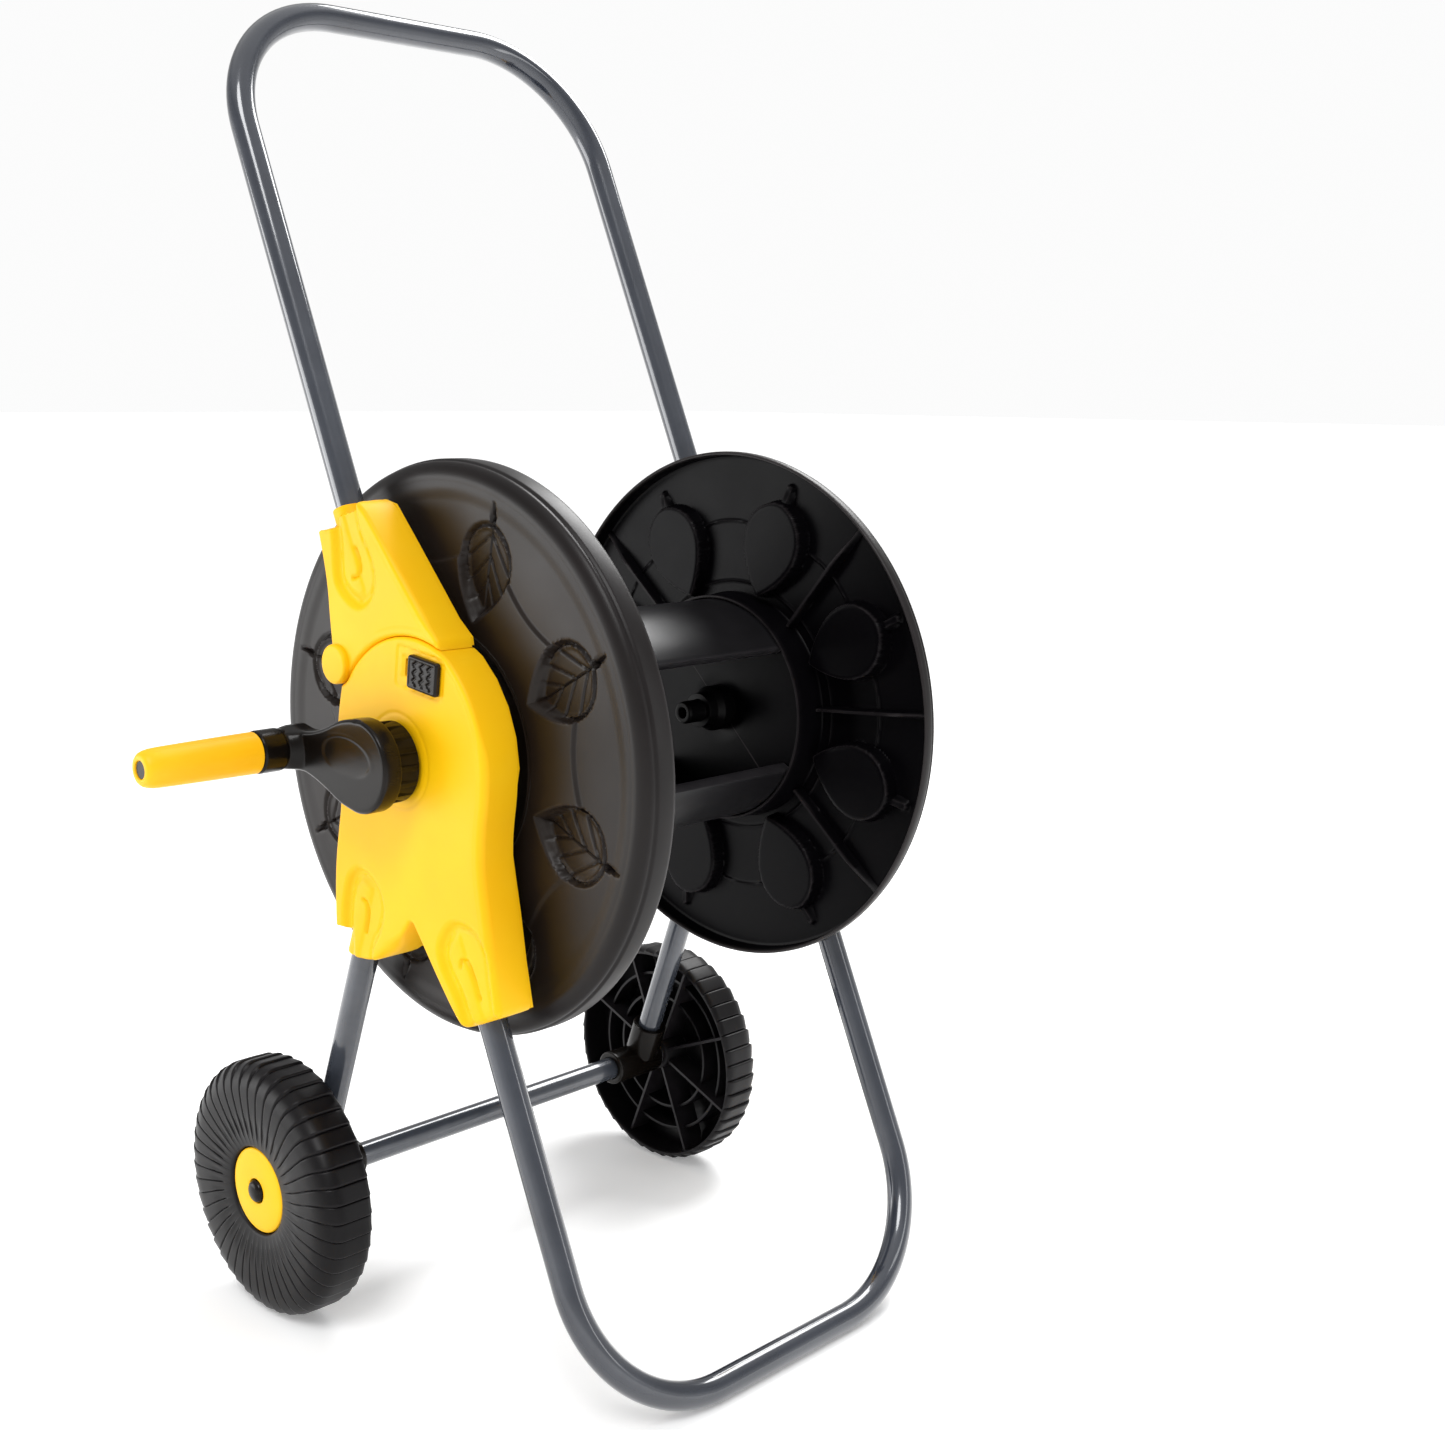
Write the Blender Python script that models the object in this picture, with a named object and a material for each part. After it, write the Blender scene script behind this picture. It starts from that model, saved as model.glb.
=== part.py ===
"""Garden hose reel cart with a folding handle.

Layout, in the working frame (mm): X runs along the reel's axis, with the crank on -X and the
water inlet on +X. The foot is toward -Y and the wheels toward +Y. The floor is z = 0 and the
reel's axis crosses y = 0. ORIGIN moves the finished object so that its own origin is the middle
of its outline, on the floor.
"""
import math

import bpy
from mathutils import Matrix, Vector

for old in list(bpy.data.objects):
    bpy.data.objects.remove(old, do_unlink=True)

MM = 0.001
GAP = 0.3  # clearance between touching pieces

# ---- tubes
TUBE_R = 9.4
TUBE_WALL = 1.2
TUBE_SIDES = 20
LEG_X = 157.4
LEG_LEAN = 0.442  # run toward +Y for each mm of height, foot legs and handle alike
LEG_Y0 = -175.3
FOOT_Z = TUBE_R * math.cos(math.pi / TUBE_SIDES)
HANDLE_TOP_Z = 891.2
BEND_R = 95.0
# ---- reel
HUB_Z = 407.5
DISC_R = 186.0
DRUM_R = 79.8
DRUM_END = 114.7
WEB_OUT = 137.0
WEB_IN = 134.0
CUP_FLOOR_IN = 115.0
CUP_FLOOR_OUT = 118.0
RIM_LEFT = 114.0  # inner edge of the crank-side rim
RIM_RIGHT = 121.5  # inner edge of the inlet-side rim
LEAF_COUNT = 8
LEAF_PHASE = 27.0
RIB_PHASE = 4.5
RIB_GAPS = (2, 6)  # straight above and below the drum there is no rib
STAVE_ARC = (39.0, 153.0, -141.0, -27.0)
# ---- side brackets
FACE = 174.5
BACK = 148.0
WALL = 2.5
PLATE_OUT = 147.7
PLATE_IN = 145.7
SEAM_CENTRE = (-12.0, -2.0)
PIN_AT = (63.5, 54.0)
KNUCKLE_R = 13.0
# ---- wheels
WHEEL_R = 90.0
AXLE_Y = 129.9
AXLE_Z = WHEEL_R
AXLE_R = 5.0
WHEEL_LEG_LEAN = -0.375
CROSS_R = 8.75
# ---- crank
CRANK_Y = 74.0
CRANK_Z = 2.0
GRIP_END = 310.0
INLET_END = 226.0
# ---- locks
LOCK_TILT = 7.0
LOCK_AT = (-29.8, 57.0)
LOCK_SIZE = (29.0, 21.0)
LOCK_STEM = (-8.0, 11.2, -5.5, 5.5)
LOCK_TRAVEL = 11.0

HANDLE_TOP_Y = LEG_Y0 + (HANDLE_TOP_Z - FOOT_Z) * LEG_LEAN
X_SHIFT = -(INLET_END - GRIP_END) / 2.0
Y_SHIFT = -(-DISC_R + (HANDLE_TOP_Y + TUBE_R)) / 2.0
ORIGIN = Vector((X_SHIFT, Y_SHIFT, 0.0))


# ------------------------------------------------------------------ materials
def material(name, rgb, roughness, metallic):
    made = bpy.data.materials.new(name)
    made.use_nodes = True
    shader = made.node_tree.nodes["Principled BSDF"]
    linear = [(c / 255.0 / 12.92) if c <= 10 else ((c / 255.0 + 0.055) / 1.055) ** 2.4 for c in rgb]
    shader.inputs["Base Color"].default_value = (*linear, 1.0)
    shader.inputs["Roughness"].default_value = roughness
    shader.inputs["Metallic"].default_value = metallic
    made.diffuse_color = (*linear, 1.0)
    return made


YELLOW = material("yellow_plastic", (253, 200, 32), 0.42, 0.0)
BLACK = material("black_plastic", (48, 46, 48), 0.45, 0.0)
DISC = material("disc_plastic", (58, 54, 56), 0.5, 0.0)
TUBE = material("painted_tube", (98, 105, 115), 0.3, 0.5)
WHEEL = material("wheel_plastic", (52, 49, 51), 0.6, 0.0)
STEEL = material("steel", (150, 150, 152), 0.35, 1.0)
SEAL = material("seal_rubber", (28, 28, 28), 0.8, 0.0)


# ------------------------------------------------------------------ mesh tools
def solid(name, verts, faces, look, origin=(0.0, 0.0, 0.0), angle=35.0):
    """One named object from points in the working frame, with its own origin at `origin`."""
    base = Vector(origin)
    mesh = bpy.data.meshes.new(name)
    mesh.from_pydata([tuple((Vector(v) - base) * MM) for v in verts], [], [list(f) for f in faces])
    mesh.validate()
    mesh.update()
    volume = sum(
        mesh.vertices[t.vertices[0]].co.dot(
            mesh.vertices[t.vertices[1]].co.cross(mesh.vertices[t.vertices[2]].co)
        )
        for t in triangles(mesh)
    )
    if volume < 0:
        mesh.flip_normals()
    if look is not None:
        mesh.materials.append(look)
    made = bpy.data.objects.new(name, mesh)
    made.location = (base + ORIGIN) * MM
    bpy.context.scene.collection.objects.link(made)
    smooth(made, angle)
    return made


def triangles(mesh):
    mesh.calc_loop_triangles()
    return mesh.loop_triangles


def smooth(made, angle=35.0):
    made.data.shade_smooth()
    made.data.set_sharp_from_angle(angle=math.radians(angle))


def combine(base, others, operation):
    """Joins or cuts `base` with the other objects, which are used up."""
    for other in others:
        other.hide_render = True
        other.display_type = "WIRE"
        step = base.modifiers.new(operation, "BOOLEAN")
        step.operation = operation
        step.solver = "EXACT"
        step.object = other
        bpy.context.view_layer.update()
        graph = bpy.context.evaluated_depsgraph_get()
        mesh = bpy.data.meshes.new_from_object(base.evaluated_get(graph))
        base.modifiers.clear()
        previous = base.data
        base.data = mesh
        mesh.name = base.name
        bpy.data.meshes.remove(previous)
        bpy.data.objects.remove(other, do_unlink=True)
    smooth(base)
    return base


def union(base, *others):
    return combine(base, others, "UNION")


def cut(base, *others):
    return combine(base, others, "DIFFERENCE")


def loft(rings, closed=False):
    """Skins equal-length rings; the two ends are capped, or joined when closed."""
    n = len(rings[0])
    verts = [p for ring in rings for p in ring]
    faces = []
    count = len(rings) if closed else len(rings) - 1
    for i in range(count):
        j = (i + 1) % len(rings)
        for k in range(n):
            l = (k + 1) % n
            faces.append((i * n + k, i * n + l, j * n + l, j * n + k))
    if not closed:
        faces.append(tuple(range(n))[::-1])
        faces.append(tuple(range((len(rings) - 1) * n, len(rings) * n)))
    return verts, faces


def basis(direction):
    w = Vector(direction).normalized()
    side = Vector((0, 0, 1)) if abs(w.z) < 0.9 else Vector((0, 1, 0))
    u = side.cross(w).normalized()
    return u, w.cross(u), w


def turned(name, profile, look, at=(0, 0, 0), along=(1, 0, 0), sides=32, origin=None, phase=0.0, angle=35.0):
    """A solid of revolution. profile lists (distance along the axis, radius) round a closed loop."""
    u, v, w = basis(along)
    centre = Vector(at)
    rings = []
    for k in range(sides):
        t = 2 * math.pi * (k + phase) / sides
        out = u * math.cos(t) + v * math.sin(t)
        rings.append([tuple(centre + w * a + out * r) for a, r in profile])
    verts, faces = loft(rings, closed=True)
    return solid(name, verts, faces, look, at if origin is None else origin, angle)


def rod(name, profile, look, at=(0, 0, 0), along=(1, 0, 0), sides=20, origin=None, phase=0.0):
    """A round solid with no bore. profile lists (distance along the axis, radius)."""
    u, v, w = basis(along)
    centre = Vector(at)
    rings = []
    for a, r in profile:
        ring = []
        for k in range(sides):
            t = 2 * math.pi * (k + phase) / sides
            ring.append(tuple(centre + w * a + (u * math.cos(t) + v * math.sin(t)) * r))
        rings.append(ring)
    verts, faces = loft(rings)
    return solid(name, verts, faces, look, at if origin is None else origin)


def prism(name, outline, x0, x1, look=None, origin=(0, 0, 0), insets=None):
    """A (y, z) outline extruded along X from x0 to x1. insets lists (x, inset outline)."""
    rings = insets or [(x0, outline), (x1, outline)]
    verts, faces = loft([[(x, y, z) for y, z in ring] for x, ring in rings])
    return solid(name, verts, faces, look, origin)


def hub(points):
    """Points given about the reel's axis, in the working frame."""
    return [(y, z + HUB_Z) for y, z in points]


def offset(outline, by):
    """Moves each corner of a counter-clockwise outline inward by `by` along its mitre."""
    area = sum(a[0] * b[1] - b[0] * a[1] for a, b in zip(outline, outline[1:] + outline[:1]))
    sign = 1.0 if area > 0 else -1.0
    moved = []
    n = len(outline)
    for i, p in enumerate(outline):
        a = Vector(outline[i - 1])
        b = Vector(p)
        c = Vector(outline[(i + 1) % n])
        e0 = (b - a).normalized()
        e1 = (c - b).normalized()
        n0 = Vector((-e0.y, e0.x)) * sign
        n1 = Vector((-e1.y, e1.x)) * sign
        mitre = n0 + n1
        scale = by / max(0.35, 1.0 + n0.dot(n1))
        moved.append(tuple(b + mitre * scale))
    return moved


def arc(centre, radius, start, end, steps):
    """Points on an arc; angles in degrees from +Y toward +Z."""
    found = []
    for i in range(steps + 1):
        t = math.radians(start + (end - start) * i / steps)
        found.append((centre[0] + radius * math.cos(t), centre[1] + radius * math.sin(t)))
    return found


def mirrored(points):
    return [(-x, y, z) for x, y, z in points]


# ------------------------------------------------------------------ tubes
def tube(name, path, plane, radius, bore, look, origin=(0, 0, 0), sides=TUBE_SIDES, turn=0.0):
    """An open tube along a flat path. plane is the normal of the path's plane."""
    b = Vector(plane).normalized()
    points = [Vector(p) for p in path]
    outer, inner = [], []
    for i, p in enumerate(points):
        before = (p - points[i - 1]).normalized() if i else None
        after = (points[i + 1] - p).normalized() if i < len(points) - 1 else None
        along = ((before or after) + (after or before)).normalized()
        stretch = 1.0 / max(0.5, along.dot(after or before))
        side = b.cross(along).normalized()
        for ring, r in ((outer, radius), (inner, bore)):
            loop = []
            for k in range(sides):
                t = turn + 2 * math.pi * k / sides
                loop.append(tuple(p + (side * math.cos(t) * stretch + b * math.sin(t)) * r))
            ring.append(loop)
    verts, faces = loft(outer + inner[::-1], closed=True)
    return solid(name, verts, faces, look, origin)


def leg_y(z):
    return LEG_Y0 + (z - FOOT_Z) * LEG_LEAN


LEG_DIR = Vector((0.0, LEG_LEAN, 1.0)).normalized()


def u_path(end_along, corner_z, steps):
    """Half profile points of a U: from the open end of one leg, round two bends, to the other."""
    corner = Vector((LEG_X, leg_y(corner_z), corner_z))
    toward = LEG_DIR if corner_z < HUB_Z else -LEG_DIR
    mid = corner + toward * BEND_R - Vector((BEND_R, 0, 0))
    half = []
    for i in range(steps + 1):
        t = math.pi / 2 * i / steps
        half.append(mid + Vector((BEND_R * math.cos(t), 0, 0)) - toward * (BEND_R * math.sin(t)))
    right = [Vector((LEG_X, 0, 0)) + end_along] + half
    left = [Vector((-p.x, p.y, p.z)) for p in right[::-1]]
    return right + left


HUB_POINT = Vector((0.0, leg_y(HUB_Z), HUB_Z))
foot_top = HUB_POINT - LEG_DIR * 55.0
handle_low = HUB_POINT + LEG_DIR * 93.0
PLANE = Vector((1, 0, 0)).cross(LEG_DIR)
# A facet of the foot bar faces straight down, so the tube rests on a flat face.
down = math.atan2(Vector((0, 0, -1)).dot(PLANE.normalized()), Vector((0, 0, -1)).dot(PLANE.cross(Vector((-1, 0, 0))).normalized()))
tube("foot_tube", u_path(foot_top, FOOT_Z, 8), PLANE, TUBE_R, TUBE_R - TUBE_WALL, TUBE, (0, LEG_Y0, FOOT_Z), turn=down + math.pi / TUBE_SIDES)
PIN = (0.0, PIN_AT[0], PIN_AT[1] + HUB_Z)
tube("handle_tube", u_path(handle_low, HANDLE_TOP_Z, 8), PLANE, TUBE_R, TUBE_R - TUBE_WALL, TUBE, PIN)

WHEEL_LEG_DIR = Vector((0.0, WHEEL_LEG_LEAN, 1.0)).normalized()
AXLE = Vector((0.0, AXLE_Y, AXLE_Z))


def wheel_leg_point(sign, along):
    return Vector((sign * LEG_X, 0, 0)) + AXLE + WHEEL_LEG_DIR * along


for sign, side in ((-1, "left"), (1, "right")):
    ends = [wheel_leg_point(sign, 15.5), wheel_leg_point(sign, 226.0)]
    tube("wheel_leg_" + side, ends, (1, 0, 0), TUBE_R, TUBE_R - TUBE_WALL, TUBE, ends[0])
tube("cross_tube", [(-140.0, AXLE_Y, AXLE_Z), (140.0, AXLE_Y, AXLE_Z)], (0, 0, 1), CROSS_R, CROSS_R - TUBE_WALL, TUBE, tuple(AXLE))


# ------------------------------------------------------------------ elbows, axles, wheels
def elbow(side, sign):
    at = wheel_leg_point(sign, 0)
    body = rod("elbow_" + side, [(124.0, 12.4), (126.0, 13.4), (170.5, 13.4), (172.0, 12.2)], BLACK, tuple(AXLE), (sign, 0, 0), 16)
    post = rod("post", [(-11.0, 9.5), (-4.0, 13.6), (33.0, 13.6), (35.0, 12.6)], BLACK, tuple(at), WHEEL_LEG_DIR, 16)
    union(body, post)
    leg_bore = rod("leg_bore", [(15.2, TUBE_R + GAP), (40.0, TUBE_R + GAP)], None, tuple(at), WHEEL_LEG_DIR, 16)
    cross_bore = rod("cross_bore", [(120.0, CROSS_R + GAP), (140.4, CROSS_R + GAP)], None, tuple(AXLE), (sign, 0, 0), 16)
    axle_bore = rod("axle_bore", [(146.0, AXLE_R + GAP), (176.0, AXLE_R + GAP)], None, tuple(AXLE), (sign, 0, 0), 16)
    cut(body, leg_bore, cross_bore, axle_bore)


def wheel(side, sign):
    along = (sign, 0, 0)
    profile = [
        (176.0, AXLE_R + 0.35), (203.0, AXLE_R + 0.35), (203.0, 29.2), (206.3, 30.2),
        (210.2, 54.0), (208.0, 74.0), (201.0, 86.0), (190.0, WHEEL_R), (178.0, WHEEL_R),
        (172.9, 87.0), (172.9, 84.2), (197.0, 83.0), (204.4, 72.0), (206.6, 54.0),
        (200.0, 31.0), (199.5, 13.5), (176.0, 13.5),
    ]
    body = turned("wheel_" + side, profile, WHEEL, tuple(AXLE), along, 32)
    ribs = []
    for k in range(4):
        t = math.radians(22.5 + 45.0 * k)
        d = Vector((0, math.cos(t), math.sin(t)))
        e = Vector((0, -math.sin(t), math.cos(t)))
        for s in (1, -1):
            pts = []
            for x in (178.5, 201.5):
                for a, w in ((12.5, -1), (84.5 if x < 190 else 74.0, -1), (84.5 if x < 190 else 74.0, 1), (12.5, 1)):
                    pts.append(tuple(AXLE + Vector((sign * x, 0, 0)) + d * (s * a) + e * w))
            verts, faces = loft([pts[:4], pts[4:]])
            ribs.append(solid("rib", verts, faces, WHEEL))
    union(body, *ribs)
    turned("wheel_cap_" + side, [(203.3, 8.7), (207.3, 8.7), (206.6, 22.0), (204.8, 28.6), (203.3, 28.6)], YELLOW, tuple(AXLE), along, 24)
    rod("axle_" + side, [(146.4, AXLE_R), (207.2, AXLE_R)], STEEL, tuple(AXLE), along, 16)
    turned("washer_" + side, [(172.4, AXLE_R + GAP), (175.6, AXLE_R + GAP), (175.6, 10.0), (172.4, 10.0)], STEEL, tuple(AXLE), along, 16)
    dome = rod("axle_dome_" + side, [(203.35, 8.0), (208.5, 7.8), (210.2, 6.4), (211.0, 3.4)], BLACK, tuple(AXLE), along, 16)
    cut(dome, rod("bore", [(200.0, AXLE_R + GAP), (207.5, AXLE_R + GAP)], None, tuple(AXLE), along, 16))


for sign, side in ((-1, "left"), (1, "right")):
    elbow(side, sign)
    wheel(side, sign)


# ------------------------------------------------------------------ reel
REEL = (0.0, 0.0, HUB_Z)


def leaf_outline(grow):
    """Half widths of a leaf along its radius, tip toward the hub, as a closed outline."""
    half = [(89.0, 0.0), (100.0, 11.5), (112.0, 20.0), (126.0, 24.6), (139.0, 23.6), (150.0, 15.5), (156.5, 0.0)]
    points = [(r, w) for r, w in half] + [(r, -w) for r, w in half[-2:0:-1]]
    return offset(points, -grow) if grow else points


def polar(points, degrees):
    """(radius, side) pairs turned to an angle measured from -Y toward +Z."""
    t = math.radians(degrees)
    d = Vector((-math.cos(t), math.sin(t)))
    e = Vector((math.sin(t), math.cos(t)))
    return [tuple(d * r + e * w) for r, w in points]


def disc(side, sign, rim, bore):
    profile = [
        (WEB_OUT, 80.0), (WEB_OUT, 174.0), (135.0, 182.0), (130.5, DISC_R),
        (rim, DISC_R), (rim, 183.4), (WEB_IN, 181.5), (WEB_IN, 82.8), (109.0, 82.8), (109.0, 80.5),
        (CUP_FLOOR_IN, 80.5), (CUP_FLOOR_IN, bore), (145.0, bore), (145.0, 21.5), (CUP_FLOOR_OUT, 22.5), (CUP_FLOOR_OUT, 78.0),
    ]
    body = turned("disc_" + side, profile, DISC, REEL, (sign, 0, 0), 56)
    bosses, pockets, ribs = [], [], []
    for k in range(LEAF_COUNT):
        a = LEAF_PHASE + 45.0 * k
        outer = hub(polar(leaf_outline(2.6), a))
        top = hub(polar(leaf_outline(1.2), a))
        bosses.append(prism("boss", outer, 0, 0, DISC, insets=[(sign * 135.5, outer), (sign * 124.0, top)]))
        wide = hub(polar(leaf_outline(0.0), a))
        low = hub(polar(leaf_outline(-1.6), a))
        pockets.append(prism("pocket", wide, 0, 0, None, insets=[(sign * 138.0, wide), (sign * 127.0, low)]))
        if k in RIB_GAPS:
            continue
        rib = hub(polar([(82.0, -1.2), (182.6, -1.2), (182.6, 1.2), (82.0, 1.2)], RIB_PHASE + 45.0 * k))
        ribs.append(prism("rib", rib, sign * 135.5, sign * 126.0, DISC))
    union(body, *bosses)
    union(body, *ribs)
    cut(body, *pockets)


disc("left", -1, RIM_LEFT, 9.3)
disc("right", 1, RIM_RIGHT, 10.3)


def stave(name, start, end):
    """A drum half: a shell with its two long edges turned inward."""
    a0, a1 = 180.0 - start, 180.0 - end
    outer = arc((0, 0), DRUM_R, a0, a1, 10)
    inner = arc((0, 0), DRUM_R - 2.6, a1 + 2.0, a0 - 2.0, 10)
    lip0 = arc((0, 0), 71.0, a1 + 2.2, a1, 1)
    lip1 = arc((0, 0), 71.0, a0, a0 - 2.2, 1)
    prism(name, hub(outer + lip0[::-1] + inner + lip1[::-1]), -DRUM_END, DRUM_END, BLACK, REEL)


stave("drum_stave_top", STAVE_ARC[0], STAVE_ARC[1])
stave("drum_stave_bottom", STAVE_ARC[2], STAVE_ARC[3])

# The hose connector turns with the reel and carries the water from the inlet into the drum.
turned("hose_connector", [
    (76.0, 4.0), (76.0, 7.2), (78.0, 8.2), (92.0, 8.2), (92.0, 12.5), (100.0, 13.0), (104.0, 16.5), (114.6, 16.5), (114.6, 10.0),
    (172.9, 10.0), (172.9, 6.1), (150.0, 6.1), (148.0, 4.0),
], BLACK, REEL, (1, 0, 0), 16)


# ------------------------------------------------------------------ crank
def crank():
    at = REEL
    body = turned("crank_arm", [(-177.0, 8.0), (-177.0, 25.6), (-198.0, 26.4), (-198.0, 8.0)], BLACK, at, (1, 0, 0), 24)
    # The paddle: widest round the hub, narrowing to the neck that carries the grip.
    top = [(y, z) for y, z in arc((0, 0), 29.5, -80, -280, 14)]
    outline = top + [(20.0, 26.0), (36.0, 19.5), (50.0, 15.5), (62.0, 14.4), (74.0, 16.6)]
    outline += arc((CRANK_Y, CRANK_Z), 14.6, 80, -80, 8)
    outline += [(62.0, -11.4), (50.0, -13.5), (36.0, -18.5), (20.0, -25.5)]
    outline = hub(outline)
    inner = offset(outline, 1.4)
    paddle = prism("paddle", outline, 0, 0, BLACK, insets=[(-192.5, inner), (-194.5, outline), (-204.6, outline), (-206.0, inner)])
    neck = rod("neck", [(200.0, 14.0), (229.5, 14.0), (231.0, 13.2)], BLACK, (0, CRANK_Y, HUB_Z + CRANK_Z), (-1, 0, 0), 24)
    union(body, paddle, neck)
    cut(body, rod("pin_bore", [(213.0, 4.4), (240.0, 4.4)], None, (0, CRANK_Y, HUB_Z + CRANK_Z), (-1, 0, 0), 16), rod("spindle_bore", [(170.0, 9.3), (201.8, 9.3)], None, REEL, (-1, 0, 0), 20))
    return body


crank()
rod("crank_spindle", [(110.0, 9.0), (201.4, 9.0)], STEEL, REEL, (-1, 0, 0), 20)
GRIP = (0.0, CRANK_Y, HUB_Z + CRANK_Z)
rod("grip_pin", [(213.4, 4.1), (306.0, 4.1), (306.0, 5.4), (308.8, 5.4)], BLACK, GRIP, (-1, 0, 0), 16)
turned("crank_grip", [(231.4, 4.5), (231.4, 13.4), (303.0, 12.4), (307.5, 11.2), (GRIP_END, 8.4), (GRIP_END, 5.8), (305.6, 5.8), (305.6, 4.5)], YELLOW, GRIP, (-1, 0, 0), 20)


# ------------------------------------------------------------------ brackets
def seam(radius, steps):
    """The curved parting line of the two brackets, from the hinge knuckle toward the foot side."""
    c = Vector(SEAM_CENTRE)
    toward = math.degrees(math.atan2(PIN_AT[1] - c.y, PIN_AT[0] - c.x))
    last = math.degrees(math.acos((-42.0 - c.x) / radius))
    return arc(SEAM_CENTRE, radius, toward, last, steps)


REACH = math.hypot(PIN_AT[0] - SEAM_CENTRE[0], PIN_AT[1] - SEAM_CENTRE[1])
SEAM_UP = REACH - KNUCKLE_R
SEAM_LOW = SEAM_UP - GAP

LOWER_EDGE = [  # foot side of the lower bracket, top to bottom
    (-80.4, -14.0), (-76.2, -31.0), (-76.2, -48.0), (-79.6, -66.0), (-83.8, -87.0), (-88.6, -116.0), (-94.6, -145.4),
]
LOWER_LEGS = [  # round the bottom of the front leg, up to the notch, round the rear leg
    (-60.0, -161.6), (-53.0, -157.6), (-31.0, -129.5), (-9.0, -101.5), (11.0, -128.0), (31.0, -137.6),
    (48.0, -141.6), (69.0, -141.0), (74.2, -134.0), (74.4, -104.5), (72.8, -79.5), (69.0, -58.5),
    (63.8, -34.0), (66.4, -12.0), (67.0, 6.0), (65.0, 23.0),
]


def lower_outline(steps=7):
    line = seam(SEAM_LOW, steps)
    notch = []
    c = Vector(SEAM_CENTRE)
    start = math.degrees(math.atan2(c.y - PIN_AT[1], c.x - PIN_AT[0]))
    end = math.degrees(math.atan2(40.8 - PIN_AT[1], 60.2 - PIN_AT[0]))
    if start > end:
        end += 360.0
    notch = arc(PIN_AT, KNUCKLE_R + GAP, end, start, 4)[:-1]
    edge = arc((2.5, 0), 86.5, 127.0, 178.0, 4)
    return notch + line + edge + LOWER_EDGE + LOWER_LEGS


UPPER_EDGE = [(-41.0, 79.6), (-28.0, 90.0), (-2.0, 118.5), (14.0, 136.0), (34.0, 157.5)]
UPPER_TOP = [(46.0, 160.0), (71.0, 153.0), (83.0, 142.0), (77.0, 121.0), (73.2, 102.0), (72.0, 84.0)]


def upper_outline(steps=7):
    line = seam(SEAM_UP, steps)
    c = Vector(SEAM_CENTRE)
    start = math.degrees(math.atan2(66.4 - PIN_AT[1], 70.4 - PIN_AT[0]))
    end = math.degrees(math.atan2(c.y - PIN_AT[1], c.x - PIN_AT[0]))
    if end < 0:
        end += 360.0
    knuckle = arc(PIN_AT, KNUCKLE_R, start, end - 360.0, 9)[:-1]
    return knuckle + line + UPPER_EDGE + UPPER_TOP


def cover(name, outline, sign, look, origin, inset_from):
    """A front shell: rounded front edge, hollow from behind."""
    base = hub(outline)
    face = offset(base, 2.6)
    shell = prism(name, base, 0, 0, look, origin, insets=[(sign * BACK, base), (sign * (FACE - 3.0), base), (sign * FACE, face)])
    hollow = offset(base, WALL)
    cavity = prism("cavity", hollow, 0, 0, None, insets=[(sign * (BACK - 3.0), hollow), (sign * (FACE - WALL - 0.6), hollow)])
    return shell, cavity


def slot_for(end, along, radius, sign, length=60.0):
    """A cutter for a tube that leaves through a wall: round in front, straight out at the back."""
    d = Vector(along).normalized()
    s = Vector((1, 0, 0)).cross(d).normalized()
    r = radius + 0.35
    shape = []
    for i in range(13):
        t = math.pi * i / 12
        shape.append((math.sin(t) * r, math.cos(t) * r))
    shape = [(-15.0, r)] + shape + [(-15.0, -r)]
    rings = []
    for a in (0.0, length):
        rings.append([tuple(Vector(end) + d * a + Vector((sign * fx, 0, 0)) + s * fy) for fx, fy in shape])
    verts, faces = loft(rings)
    return solid("slot", verts, faces, None)


def lock_frame(dy, dz):
    t = math.radians(LOCK_TILT)
    return (LOCK_AT[0] + dy * math.cos(t) - dz * math.sin(t), LOCK_AT[1] + dy * math.sin(t) + dz * math.cos(t))


def lock_rect(y0, y1, z0, z1, r=2.0):
    points = []
    for cy, cz, a in ((y1 - r, z1 - r, 0), (y0 + r, z1 - r, 90), (y0 + r, z0 + r, 180), (y1 - r, z0 + r, 270)):
        for i in range(4):
            t = math.radians(a + 30 * i)
            points.append(lock_frame(cy + r * math.cos(t), cz + r * math.sin(t)))
    return hub(points)


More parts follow.
